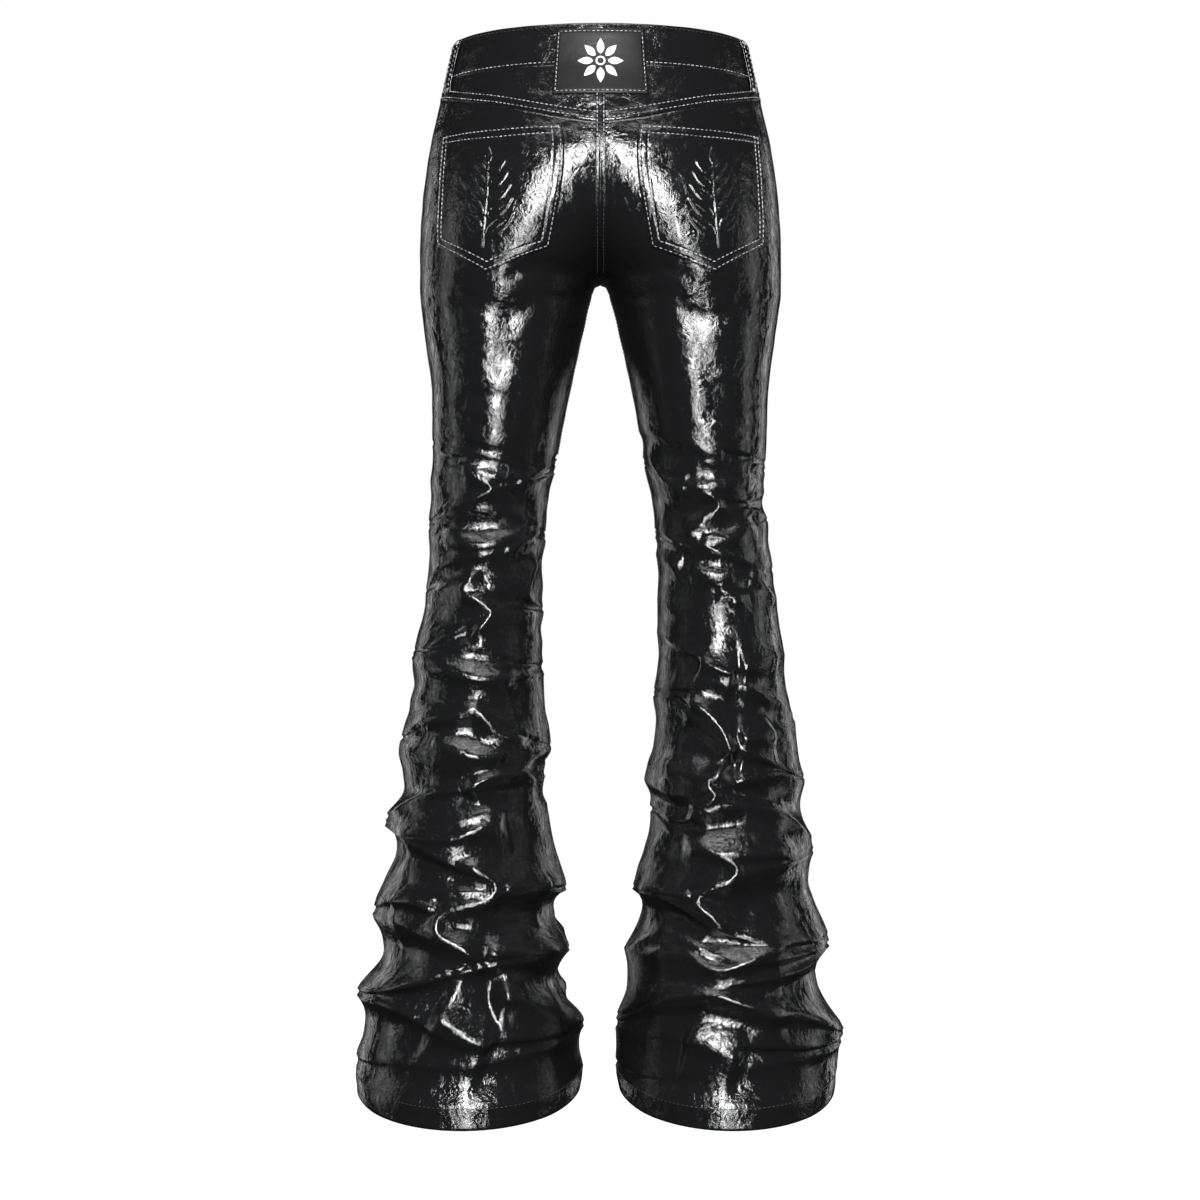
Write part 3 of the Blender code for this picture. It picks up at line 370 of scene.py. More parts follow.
class Half:
    """One half of the garment: its surface, and the folds and creases that cross it."""

    def __init__(self, side, outline, folds, creases, seed):
        self.side = side
        self.outline = np.array(outline, float).T
        folds = np.array(folds, float).reshape(-1, FOLD_COLUMNS)
        seams = np.mean(folds[:, [0, 4]], axis=1)
        front = [seams + FRONT_COPIES_BACK * (folds[:, column] - seams) for column in (3, 2, 1)]
        lines = np.column_stack([folds[:, :5], *front])
        drift = FRONT_DRIFT * np.sin(2 * math.pi * seams / FRONT_DRIFT_LENGTH)
        drift[seams < FRONT_DRIFT_FROM] = 0
        lines[:, 5:] += drift[:, None]
        lines[:2, 5:] = lines[:2, 3:0:-1]
        hem = np.array(HEM_EDGE, float)
        self.lines = np.vstack([lines, hem - HEM_HEIGHT, hem])
        share = smooth_through(
            (0, KNEE, SHIN, hem.max()),
            (FRONT_DEPTH_AT_KNEE, FRONT_DEPTH_AT_KNEE, FRONT_DEPTH_AT_HEM, FRONT_DEPTH_AT_HEM),
            seams,
        )
        depths = np.column_stack([folds[:, 5:8], folds[:, 6] * share])
        self.depths = np.vstack([depths, np.zeros((2, 4))])
        self.lowest = np.append(folds[:, 8], (0.5, 0.5))
        self.last = len(self.lines) - 1
        self.creases = self.laid_creases(creases)
        self.ripples = np.random.default_rng(seed).uniform(-1, 1, (RIPPLES, 4))

    def body(self, down, degrees):
        """Centre and half-widths of the section at this depth, and its split, for the angle's side."""
        outer = smooth_through(self.outline[0], self.outline[1], down)
        inner = smooth_through(self.outline[0], self.outline[2], down) + SEAM_GAP / 2
        heights, back, front = np.array(SIDE_OUTLINE, float).T
        at_back = np.mod(degrees, 360.0) <= 180.0
        deep = np.where(at_back, smooth_through(heights, back, down), smooth_through(heights, front, down))
        power = np.where(at_back, BACK_SPLIT_POWER, FRONT_SPLIT_POWER)
        split = np.clip((down - SEAT_SPLIT_START) / (FORK - SEAT_SPLIT_START), 0, 1) ** power
        wide = (outer - inner) / (1 + split)
        return inner + split * wide, wide, deep, split

    def point(self, down, degrees, proud=0.0):
        """Point of the smooth form at this depth and angle, moved out along the section's normal."""
        down, degrees = np.broadcast_arrays(np.asarray(down, float), np.asarray(degrees, float))
        centre, wide, deep, _ = self.body(down, degrees)
        cos, sin = np.cos(np.radians(degrees)), np.sin(np.radians(degrees))
        out = unit(np.stack([cos / wide, sin / deep], axis=-1))
        x = centre + wide * cos + proud * out[..., 0]
        y = deep * sin + proud * out[..., 1]
        return np.stack([self.side * x, y, -down], axis=-1) * MM

    def angle_at(self, down, x, front=False):
        """The angle at which the section passes this distance from the centre line."""
        centre, wide, _, _ = self.body(np.asarray(down, float), 270.0 if front else 90.0)
        angle = np.degrees(np.arccos(np.clip((x - centre) / wide, -1, 1)))
        return 360.0 - angle if front else angle

    def centre_angle(self, down, front=False, gap=SEAM_GAP):
        """Angle of the centre seam or, below the fork, of the inseam, with half a seam gap left."""
        _, wide, _, split = self.body(np.asarray(down, float), 270.0 if front else 90.0)
        angle = np.minimum(np.degrees(np.arccos(-split)), 180.0 - np.degrees(gap / 2 / wide))
        return 360.0 - angle if front else angle

    def outseam_angle(self, front=False):
        """Angle of the outseam, with half a seam gap left."""
        angle = math.degrees(SEAM_GAP / 2 / SIDE_OUTLINE[0][1])
        return 360.0 - angle if front else angle

    def heights_of_lines(self, degrees):
        """Every fold line's depth below the waist at these angles, kept in order and a little apart."""
        found = round_the_leg(self.lines, degrees)
        room = FOLD_CLEARANCE * np.arange(len(found)).reshape(-1, *[1] * (found.ndim - 1))
        return np.maximum.accumulate(found - room, axis=0) + room

    @staticmethod
    def around(lines, first):
        """The line numbered first and the one below it, at every place."""
        return (np.take_along_axis(lines, first[None] + step, axis=0)[0] for step in (0, 1))

    def down_at(self, row, degrees):
        """Depth below the waist of a row counted in fold lines."""
        row, degrees = np.broadcast_arrays(np.asarray(row, float), np.asarray(degrees, float))
        first = np.clip(np.floor(row).astype(int), 0, self.last - 1)
        above, below = self.around(self.heights_of_lines(degrees), first)
        return above + (row - first) * (below - above)

    def hollow(self, down, degrees):
        """How far the folded form lies inside the smooth one: a raised sine between two fold lines."""
        lines = self.heights_of_lines(degrees)
        first = np.clip(np.sum(lines <= down, axis=0) - 1, 0, self.last - 1)
        above, below = self.around(lines, first)
        t = np.clip((down - above) / (below - above), 0, 1)
        depths = np.maximum(round_the_leg(self.depths, degrees), 0)
        depth = np.take_along_axis(depths, first[None], axis=0)[0]
        depth = np.minimum(depth, STEEPEST_HOLLOW * (below - above))
        bend = math.log(0.5) / np.log(self.lowest[first])
        return depth * np.abs(np.sin(math.pi * t**bend)) ** CREST_SHARPNESS

    def laid_creases(self, creases):
        """The creases as curves of depth and angle: the back's from their pixels, the front's after them."""
        laid = []
        for height, above, below, *pixels in creases:
            path = curve_through(pixels, max(6, 3 * len(pixels)))
            y = np.full(len(path), 90.0)
            for _ in range(4):
                nearer = 1 - y / CAMERA_DISTANCE
                down = CAMERA_DOWN + (path[:, 1] - PHOTO_MIDDLE) * nearer
                x = self.side * (CAMERA_ACROSS + (PHOTO_MIDDLE - path[:, 0]) * nearer)
                degrees = self.angle_at(down, x)
                y = self.body(down, degrees)[2] * np.sin(np.radians(degrees))
            laid.append((height, above, below, down, degrees))
            if down.mean() > FORK:
                lower = down + FRONT_CREASE_DROP * np.cos(np.radians(degrees * 1.5))
                turned = 360.0 - degrees + FRONT_CREASE_SHIFT * math.sin(down.mean() / 31.0)
                laid.append((FRONT_CREASE_SHARE * height, above, below, lower, turned))
        return laid

    def creased(self, down, degrees):
        """Height of the laid creases, and how near a crest each place is. A ridge falls off as e to the
        power of its distance, a trough as a bell."""
        flat_down, flat_degrees = down.ravel(), degrees.ravel()
        _, wide, deep, _ = self.body(flat_down, flat_degrees)
        radius = 0.5 * (wide + deep)
        total, crest = np.zeros(flat_down.shape), np.zeros(flat_down.shape)
        for height, above, below, path_down, path_degrees in self.creases:
            reach = CREST_REACH * CREST_SPREAD * max(above, below)
            highest, lowest = path_down.min() - reach, path_down.max() + reach
            near = np.flatnonzero((flat_down > highest) & (flat_down < lowest))
            if not len(near):
                continue
            v = flat_down[near, None] - path_down[:-1]
            turn = np.radians((flat_degrees[near, None] - path_degrees[:-1] + 180) % 360 - 180)
            u = turn * radius[near, None]
            step_v = np.diff(path_down)
            step_u = np.radians(np.diff(path_degrees)) * radius[near, None]
            share = np.clip((u * step_u + v * step_v) / np.maximum(step_u**2 + step_v**2, 1e-9), 0, 1)
            away_u, away_v = u - share * step_u, v - share * step_v
            away = np.sqrt(away_u**2 + away_v**2)
            best = np.argmin(away, axis=1)
            pick = np.arange(len(near)), best
            distance = away[pick]
            under = np.where(distance > 1e-6, away_v[pick] / np.maximum(distance, 1e-6), 0)
            width = 0.5 * (above + below) + 0.5 * (below - above) * under
            along = (best + share[pick]) / len(step_v)
            fade = smooth_step(0, CREASE_FADE, along) * smooth_step(0, CREASE_FADE, 1 - along)
            if height > 0:
                rounded = np.sqrt(distance**2 + CREASE_ROUNDING**2) - CREASE_ROUNDING
                total[near] += CREST_RISE * height * fade * np.exp(-rounded / width)
                crest[near] = np.maximum(crest[near], fade * np.exp(-rounded / (CREST_SPREAD * width)))
            else:
                mild = np.where(flat_down[near] > TROUGHS_MILD_BELOW, MILD_TROUGH, 1.0)
                total[near] += mild * height * fade * np.exp(-((distance / width) ** 2))
        return total.reshape(down.shape), crest.reshape(down.shape)

    def rippled(self, down, degrees):
        """Small unevenness: plane waves laid mostly across the leg, each bent by another."""
        turn = np.radians(degrees)
        total = np.zeros(np.shape(down))
        for across, along, phase, size in self.ripples:
            bend = 1.6 * np.sin(down / 47.0 + 5 * phase + np.sin(turn + 3 * along) * 2)
            wave = down * (0.17 + 0.13 * along) + 3.2 * across * np.sin(turn) * 2 + bend + 9 * phase
            total += RIPPLE_HEIGHT * size * np.sin(wave)
        return total * (RIPPLES_ABOVE_KNEE + RIPPLES_ADDED_BELOW * smooth_step(*RIPPLES_GROW, down))

    def cloth(self, down, degrees, proud=0.0):
        """Points of the finished cloth at these depths and angles, moved out by proud along the smooth form's
        normal.
        """
        down, degrees = np.broadcast_arrays(np.asarray(down, float), np.asarray(degrees, float))
        raised, crest = self.creased(down, degrees)
        raised = raised + self.rippled(down, degrees)
        least = smooth_through(*CREASE_POCKETS, down) * np.abs(np.sin(np.radians(degrees))) ** 0.7
        least = least * np.where(np.mod(degrees, 360.0) > 180.0, FRONT_CREASE_SHARE, 1.0)
        folded = self.hollow(down, degrees) * (1 - SEAT_FOLD_EASED * smooth_step(*SEAT_FOLD_ENDS, down))
        lift = proud - (folded + least) * (1 - crest)
        calmed = smooth_step(*CALM_AT_HEM, self.height_above_hem(down, degrees))
        calmed = calmed * smooth_step(*CALM_AT_WAIST, down)
        return self.point(down, degrees, lift + raised * calmed)

    def height_above_hem(self, down, degrees):
        """How far a place lies above the hem's edge."""
        return round_the_leg(self.lines[-1:], degrees)[0] - down

    def surface(self, down, degrees, proud=0.0, step=0.8):
        """Points of the finished cloth, moved out along its own normals, and those normals."""
        down, degrees = np.broadcast_arrays(np.asarray(down, float), np.asarray(degrees, float))
        turn = step / 1.2
        along = self.cloth(down + step, degrees) - self.cloth(down - step, degrees)
        around = self.cloth(down, degrees + turn) - self.cloth(down, degrees - turn)
        normals = unit(np.cross(along, around) * self.side)
        return self.cloth(down, degrees) + normals * proud * MM, normals

    def surface_grid(self, down, degrees):
        """Points of the finished cloth on a grid, and its outward normals from the grid's own differences."""
        points = self.cloth(down, degrees)
        normals = grid_normals(points)
        outwards = self.point(down, degrees, 1.0) - self.point(down, degrees)
        return points, normals * np.sign(np.sum(normals * outwards, axis=-1, keepdims=True))


LEFT_HALF = Half(LEFT, LEFT_OUTLINE, LEFT_FOLDS, LEFT_CREASES, seed=3)
RIGHT_HALF = Half(RIGHT, RIGHT_OUTLINE, RIGHT_FOLDS, RIGHT_CREASES, seed=8)
HALVES = (("left", LEFT_HALF), ("right", RIGHT_HALF))


# ---------------------------------------------------------------- meshes


def add_mesh(name, points, quads, finish, uv=None, triangles=None):
    """Mesh object from arrays: points, four-cornered faces, then any three-cornered ones, smooth shaded."""
    mesh = bpy.data.meshes.new(name)
    triangles = np.zeros((0, 3), int) if triangles is None else triangles
    corners = np.concatenate([quads.ravel(), triangles.ravel()])
    sizes = np.concatenate([np.full(len(quads), 4), np.full(len(triangles), 3)])
    starts = np.concatenate([[0], np.cumsum(sizes)[:-1]])
    mesh.vertices.add(len(points))
    mesh.vertices.foreach_set("co", np.ascontiguousarray(points, np.float32).ravel())
    mesh.loops.add(len(corners))
    mesh.loops.foreach_set("vertex_index", corners.astype(np.int32))
    mesh.polygons.add(len(sizes))
    mesh.polygons.foreach_set("loop_start", starts.astype(np.int32))
    mesh.polygons.foreach_set("loop_total", sizes.astype(np.int32))
    mesh.update(calc_edges=True)
    mesh.validate()
    mesh.materials.append(finish)
    mesh.shade_smooth()
    if uv is not None:
        layer = mesh.uv_layers.new(name="cut")
        layer.data.foreach_set("uv", uv[corners].astype(np.float32).ravel())
    made = bpy.data.objects.new(name, mesh)
    bpy.context.scene.collection.objects.link(made)
    return made


def grid_normals(grid):
    """Unit normals of a grid of points, from its differences down and across."""
    return unit(np.cross(np.gradient(grid, axis=0), np.gradient(grid, axis=1)))


def wall_arrays(outer, inner, rounding=None):
    """Points, quads and rim of a closed wall between two grids of points. With a rounding, its rim bulges out
    by that share of its thickness, as a turned edge does."""
    rows, columns = outer.shape[:2]
    count = rows * columns
    grid = np.arange(count).reshape(rows, columns)
    back = grid + count
    rim = np.concatenate([grid[0, :-1], grid[:-1, -1], grid[-1, :0:-1], grid[:0:-1, 0]])
    after = np.roll(rim, -1)
    points = [outer.reshape(-1, 3), inner.reshape(-1, 3)]
    quads = [
        np.stack([grid[:-1, :-1], grid[1:, :-1], grid[1:, 1:], grid[:-1, 1:]], -1).reshape(-1, 4),
        np.stack([back[:-1, :-1], back[:-1, 1:], back[1:, 1:], back[1:, :-1]], -1).reshape(-1, 4),
    ]
    if rounding is None:
        quads.append(np.stack([rim, after, after + count, rim + count], -1))
    else:
        flat_outer, flat_inner = points
        inward = np.concatenate([grid[1, :-1], grid[:-1, -2], grid[-2, :0:-1], grid[:0:-1, 1]])
        thick = np.linalg.norm(flat_outer[rim] - flat_inner[rim], axis=1, keepdims=True)
        out = unit(flat_outer[rim] - flat_outer[inward])
        points.append(0.5 * (flat_outer[rim] + flat_inner[rim]) + out * thick * 0.5 * rounding)
        edge = np.arange(len(rim)) + 2 * count
        edge_after = np.roll(edge, -1)
        quads.append(np.stack([rim, after, edge_after, edge], -1))
        quads.append(np.stack([edge, edge_after, after + count, rim + count], -1))
    quads = np.concatenate(quads)
    row, column = rows // 2, columns // 2
    middle = outer[row, column]
    facing = np.cross(middle - outer[row - 1, column], middle - outer[row, column - 1])
    if facing @ (outer - inner)[row, column] < 0:
        quads = quads[:, ::-1]
    return np.concatenate(points), quads, rim


def add_wall(name, outer, inner, finish, rounding=0.5):
    """Closed wall between two grids of points, with its flat cut in metres as its UV map."""
    points, quads, rim = wall_arrays(outer, inner, rounding)
    across = np.linalg.norm(np.diff(outer, axis=1), axis=2).cumsum(axis=1)
    down = np.linalg.norm(np.diff(outer, axis=0), axis=2).cumsum(axis=0)
    u = np.pad(across, ((0, 0), (1, 0))).ravel()
    v = np.pad(down, ((1, 0), (0, 0))).ravel()
    uv = np.stack([u, v], -1)
    return add_mesh(name, points, quads, finish, np.concatenate([uv, uv, uv[rim]]))


def join_meshes(name, parts, finish):
    """One object from several (points, quads, triangles)."""
    points, quads, triangles, offset = [], [], [], 0
    for part_points, part_quads, part_triangles in parts:
        points.append(part_points)
        quads.append(part_quads + offset)
        triangles.append(part_triangles + offset)
        offset += len(part_points)
    points, quads, triangles = (np.concatenate(arrays) for arrays in (points, quads, triangles))
    return add_mesh(name, points, quads, finish, triangles=triangles)


def sizes():
    """The sizes that a user would change."""
    return bpy.context.scene.jeans_sizes


def stitch_sizes():
    """Length of a stitch, the room after it and the width of its thread, in millimetres."""
    return sizes().stitch / MM, sizes().stitch_gap / MM, sizes().thread / MM


def stitch_row(points, normals, length, gap, thick, lift=0.25):
    """Raised stitches along a path: each a short bar, sunk into the cloth at both ends, whose thickness and
    height follow a sine along it."""
    steps = np.linalg.norm(np.diff(points, axis=0), axis=1)
    places = np.concatenate([[0], np.cumsum(steps)])
    count = max(1, int(places[-1] / ((length + gap) * MM)))
    centres_at = (np.arange(count) + 0.5) * places[-1] / count

    def at_centres(vectors):
        return np.stack([np.interp(centres_at, places, vectors[:, k]) for k in range(3)], -1)

    centre, normal = at_centres(points), unit(at_centres(normals))
    tangent = at_centres(np.gradient(points, places, axis=0))
    tangent = unit(tangent - normal * np.sum(tangent * normal, axis=-1, keepdims=True))
    beside = np.cross(normal, tangent)
    share = np.linspace(0.12, 0.88, STITCH_RINGS)
    along = np.concatenate([[-0.5], -0.5 * np.cos(math.pi * share), [0.5]]) * length
    turn = np.linspace(0, 2 * math.pi, STITCH_SIDES, endpoint=False)
    radius = 0.5 * thick * np.sin(math.pi * share) ** 0.4
    rings = np.stack(
        [
            np.repeat(along[1:-1], STITCH_SIDES),
            np.outer(radius, np.cos(turn)).ravel(),
            np.outer(radius, np.sin(turn)).ravel() + lift * np.repeat(np.sin(math.pi * share), STITCH_SIDES),
        ],
        -1,
    )
    shape = np.concatenate([[[along[0], 0, -0.1]], rings, [[along[-1], 0, -0.1]]]) * MM
    world = (
        centre[:, None]
        + shape[None, :, :1] * tangent[:, None]
        + shape[None, :, 1:2] * beside[:, None]
        + shape[None, :, 2:] * normal[:, None]
    )
    size = len(shape)
    ring = np.arange(STITCH_SIDES)
    first = 1 + np.arange(STITCH_RINGS - 1)[:, None] * STITCH_SIDES + ring
    after = 1 + np.arange(STITCH_RINGS - 1)[:, None] * STITCH_SIDES + (ring + 1) % STITCH_SIDES
    quads = np.stack([first, first + STITCH_SIDES, after + STITCH_SIDES, after], -1).reshape(-1, 4)
    last = 1 + (STITCH_RINGS - 1) * STITCH_SIDES
    caps = np.concatenate(
        [
            np.stack([np.zeros_like(ring), 1 + ring, 1 + (ring + 1) % STITCH_SIDES], -1),
            np.stack([np.full_like(ring, size - 1), last + (ring + 1) % STITCH_SIDES, last + ring], -1),
        ]
    )
    offsets = (np.arange(count) * size)[:, None, None]
    return world.reshape(-1, 3), (quads + offsets).reshape(-1, 4), (caps + offsets).reshape(-1, 3)


# ---------------------------------------------------------------- finishes


def finish_named(name, fill):
    """The material of this name, made once. Fill says what each socket of its shader holds: a number or a
    colour is set there, and a node's output is linked there."""
    made = bpy.data.materials.get(name)
    if made:
        return made
    made = bpy.data.materials.new(name)
    made.use_nodes = True
    tree = made.node_tree
    shader = tree.nodes["Principled BSDF"]
    for socket, value in fill(tree).items():
        if isinstance(value, bpy.types.NodeSocket):
            tree.links.new(value, shader.inputs[socket])
        else:
            shader.inputs[socket].default_value = value
    return made


def object_place(tree):
    """The place on the garment, in metres."""
    return tree.nodes.new("ShaderNodeTexCoord").outputs["Object"]


def add_noise(tree, place, scale, detail=2.0, roughness=0.5, distortion=0.0):
    """Noise, 0 to 1, read at a place."""
    noise = tree.nodes.new("ShaderNodeTexNoise")
    noise.inputs["Scale"].default_value = scale
    noise.inputs["Detail"].default_value = detail
    noise.inputs["Roughness"].default_value = roughness
    noise.inputs["Distortion"].default_value = distortion
    tree.links.new(place, noise.inputs["Vector"])
    return noise.outputs["Fac"]


def add_stretch(tree, place, scale):
    """The place multiplied by a scale for each axis."""
    stretch = tree.nodes.new("ShaderNodeMapping")
    stretch.inputs["Scale"].default_value = scale
    tree.links.new(place, stretch.inputs["Vector"])
    return stretch.outputs["Vector"]


def add_math(tree, operation, *values):
    """Result of a sum on numbers and nodes' outputs."""
    made = tree.nodes.new("ShaderNodeMath")
    made.operation = operation
    for socket, value in zip(made.inputs, values):
        if isinstance(value, bpy.types.NodeSocket):
            tree.links.new(value, socket)
        else:
            socket.default_value = value
    return made.outputs[0]


def add_range(tree, value, low, high):
    """A noise's middle stretch, 0.3 to 0.7, spread over low to high."""
    ranged = tree.nodes.new("ShaderNodeMapRange")
    for name, limit in (("From Min", 0.3), ("From Max", 0.7), ("To Min", low), ("To Max", high)):
        ranged.inputs[name].default_value = limit
    tree.links.new(value, ranged.inputs["Value"])
    return ranged.outputs["Result"]


def add_shade(tree, factor, dark, pale):
    """Colour between a dark and a pale one."""
    shade = tree.nodes.new("ShaderNodeMix")
    shade.data_type = "RGBA"
    shade.inputs[6].default_value = (*dark, 1.0)
    shade.inputs[7].default_value = (*pale, 1.0)
    tree.links.new(factor, shade.inputs["Factor"])
    return shade.outputs[2]


def add_bump(tree, height, distance, strength):
    """Normal of a surface whose height stands for a distance in metres."""
    bump = tree.nodes.new("ShaderNodeBump")
    bump.inputs["Distance"].default_value = distance
    bump.inputs["Strength"].default_value = strength
    tree.links.new(height, bump.inputs["Height"])
    return bump.outputs["Normal"]


def crinkle_group():
    """Crinkle of a coated cloth: small cells, stretched creases, a web of ridges (noise folded at its middle)
    and broad swells. Puts out its height and a patchy mask."""
    group = bpy.data.node_groups.get("fine_crinkle")
    if group:
        return group
    group = bpy.data.node_groups.new("fine_crinkle", "ShaderNodeTree")
    group.interface.new_socket("Vector", in_out="INPUT", socket_type="NodeSocketVector")
    for name, way in (("Cells", "INPUT"), ("Height", "OUTPUT"), ("Patches", "OUTPUT")):
        group.interface.new_socket(name, in_out=way, socket_type="NodeSocketFloat")
    enter, leave = group.nodes.new("NodeGroupInput"), group.nodes.new("NodeGroupOutput")
    place = enter.outputs["Vector"]
    cells = group.nodes.new("ShaderNodeTexVoronoi")
    cells.feature = "SMOOTH_F1"
    cells.inputs["Smoothness"].default_value = 0.6
    group.links.new(place, cells.inputs["Vector"])
    group.links.new(enter.outputs["Cells"], cells.inputs["Scale"])
    creased_place = add_stretch(group, place, (190.0, 190.0, 420.0))
    crease = add_noise(group, creased_place, scale=1.0, detail=3.0, roughness=0.62, distortion=0.6)
    height = add_math(group, "MULTIPLY_ADD", cells.outputs["Distance"], 0.7, crease)
    web = add_noise(group, place, scale=95.0, detail=4.0, roughness=0.62, distortion=1.2)
    ridge = add_math(group, "ABSOLUTE", add_math(group, "SUBTRACT", web, 0.5))
    height = add_math(group, "MULTIPLY_ADD", ridge, -5.0, height)
    broad_place = add_stretch(group, place, (20.0, 20.0, 34.0))
    swell = add_noise(group, broad_place, scale=1.0, detail=1.5, distortion=0.8)
    height = add_math(group, "MULTIPLY_ADD", swell, 9.0, height)
    group.links.new(height, leave.inputs["Height"])
    group.links.new(add_noise(group, place, scale=28.0, detail=4.0), leave.inputs["Patches"])
    return group


def add_crinkle(tree, cells):
    """Height and patchy mask of the crinkle, with this many cells to a metre."""
    crinkle = tree.nodes.new("ShaderNodeGroup")
    crinkle.node_tree = crinkle_group()
    crinkle.inputs["Cells"].default_value = cells
    tree.links.new(object_place(tree), crinkle.inputs["Vector"])
    return crinkle.outputs["Height"], crinkle.outputs["Patches"]


def coated_cloth():
    """Cotton with a glossy black coating, crinkled, its gloss a little patchy."""

    def fill(tree):
        finish = bpy.context.scene.jeans_finish
        height, patches = add_crinkle(tree, cells=260.0)
        return {
            "Base Color": (*finish.coating, 1.0),
            "IOR": 1.56,
            "Roughness": add_range(tree, patches, finish.gloss - 0.03, finish.gloss + 0.06),
            "Normal": add_bump(tree, height, finish.crinkle, strength=0.55),
        }

    return finish_named("glossy_coating", fill)


def patch_leather():
    """Matt black patch with a fine grain."""

    def fill(tree):
        height, patches = add_crinkle(tree, cells=900.0)
        return {
            "Base Color": (0.004, 0.004, 0.004, 1.0),
            "Specular IOR Level": 0.25,
            "Roughness": add_range(tree, patches, low=0.34, high=0.46),
            "Normal": add_bump(tree, height, distance=0.00008, strength=0.5),
        }

    return finish_named("patch_leather", fill)


def printed_motif():
    """White print, slightly cracked and satin."""

    def fill(tree):
        colour = tuple(bpy.context.scene.jeans_finish.print_colour)
        height, patches = add_crinkle(tree, cells=700.0)
        return {
            "Base Color": add_shade(tree, patches, (0.85 * c for c in colour), colour),
            "Roughness": 0.45,
            "Normal": add_bump(tree, height, distance=0.00005, strength=0.4),
        }

    return finish_named("printed_motif", fill)


def thread(name, colour):
    """Spun thread: fine fibres in its bump, and a shade that varies along the row."""

    def fill(tree):
        place = object_place(tree)
        fibres = add_noise(tree, place, scale=2400.0)
        lighter = add_range(tree, add_noise(tree, place, scale=150.0), low=-0.25, high=1.25)
        return {
            "Base Color": add_shade(tree, lighter, (0.22 * c for c in colour), colour),
            "Roughness": 0.55,
            "Normal": add_bump(tree, fibres, distance=0.0001, strength=0.4),
        }

    return finish_named(name, fill)


def pale_thread():
    """Contrast thread."""
    return thread("pale_thread", tuple(bpy.context.scene.jeans_finish.pale_thread))


def dark_thread():
    """Thread in the cloth's own shade."""
    return thread("dark_thread", tuple(bpy.context.scene.jeans_finish.dark_thread))


def dark_metal():
    """Dark satin metal, grained and a little lighter where it is rubbed."""

    def fill(tree):
        grain = add_noise(tree, object_place(tree), scale=900.0)
        return {
            "Base Color": add_shade(tree, grain, (0.10, 0.10, 0.105), (0.26, 0.26, 0.27)),
            "Metallic": 1.0,
            "Roughness": add_range(tree, grain, low=0.22, high=0.38),
        }

    return finish_named("dark_metal", fill)


def pale_floor():
    """White studio floor, faintly uneven."""

    def fill(tree):
        cloud = add_noise(tree, object_place(tree), scale=1.5)
        return {
            "Base Color": (0.3, 0.3, 0.3, 1.0),
            "Emission Color": (1.0, 1.0, 1.0, 1.0),
            "Emission Strength": 1.0,
            "Roughness": add_range(tree, cloud, low=0.88, high=0.94),
        }

    return finish_named("pale_floor", fill)


# ---------------------------------------------------------------- settings


def length_property(name, description, default):
    """A property that holds a length in metres."""
    return FloatProperty(name=name, description=description, default=default, unit="LENGTH")


def colour_property(name, description, default):
    """A property that holds a colour."""
    return FloatVectorProperty(name=name, description=description, default=default, subtype="COLOR")


def power_property(name, description, default):
    """A property that holds a light's power in watts."""
    return FloatProperty(name=name, description=description, default=default, subtype="POWER")


class JEANS_PG_sizes(bpy.types.PropertyGroup):
    """Sizes that a user would change, in metres."""

    cloth: length_property("Cloth", "Thickness of the coated cloth", 0.0011)
    hem: length_property("Hem", "Thickness of the turned hem", 0.0024)
    stitch: length_property("Stitch", "Length of one stitch", 0.0031)
    stitch_gap: length_property("Stitch gap", "Room between stitches", 0.0016)
    thread: length_property("Thread", "Width of the sewing thread", 0.0009)
    row_spacing: length_property("Mesh spacing", "Distance between mesh rows", 0.0027)


class JEANS_PG_finish(bpy.types.PropertyGroup):
    """Colours and gloss."""

    coating: colour_property("Coating", "Colour of the coated cloth", (0.006, 0.006, 0.0065))
    pale_thread: colour_property("Pale thread", "Contrast stitching", (0.46, 0.46, 0.48))
    dark_thread: colour_property("Dark thread", "Stitching in the cloth's own shade", (0.03, 0.03, 0.032))
    print_colour: colour_property("Motif", "Colour of the patch's motif", (0.85, 0.85, 0.85))
    gloss: FloatProperty(
        name="Roughness", description="Roughness of the coating", default=0.10, min=0.02, max=1.0
    )
    crinkle: length_property("Crinkle", "Depth of the coating's crinkle", 0.00035)


class JEANS_PG_stage(bpy.types.PropertyGroup):
    """Camera, floor and lights."""

    camera_distance: length_property("Camera distance", "From the middle plane", 2.3)
    camera_height: length_property("Camera height", "Above the waist", -0.552)
    floor: length_property("Floor", "Height of the floor", -1.25)
    key: power_property("Key light", "Power of the tall light by the camera", 165.0)
    core: power_property("Core light", "Power of the light above the camera", 105.0)
    side: power_property("Side lights", "Power of each light beside", 8.0)
    rim: power_property("Rim lights", "Power of each light behind", 10.0)
    top: power_property("Top light", "Power of the soft light overhead", 18.0)


def ride(piece, slot, *nodes):
    """Puts a finished piece on the garment's one body and hides the frame's nodes that it stands for. Its
    slot is not used.
    """
    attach(piece, "root")
    if nodes:
        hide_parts(*nodes)


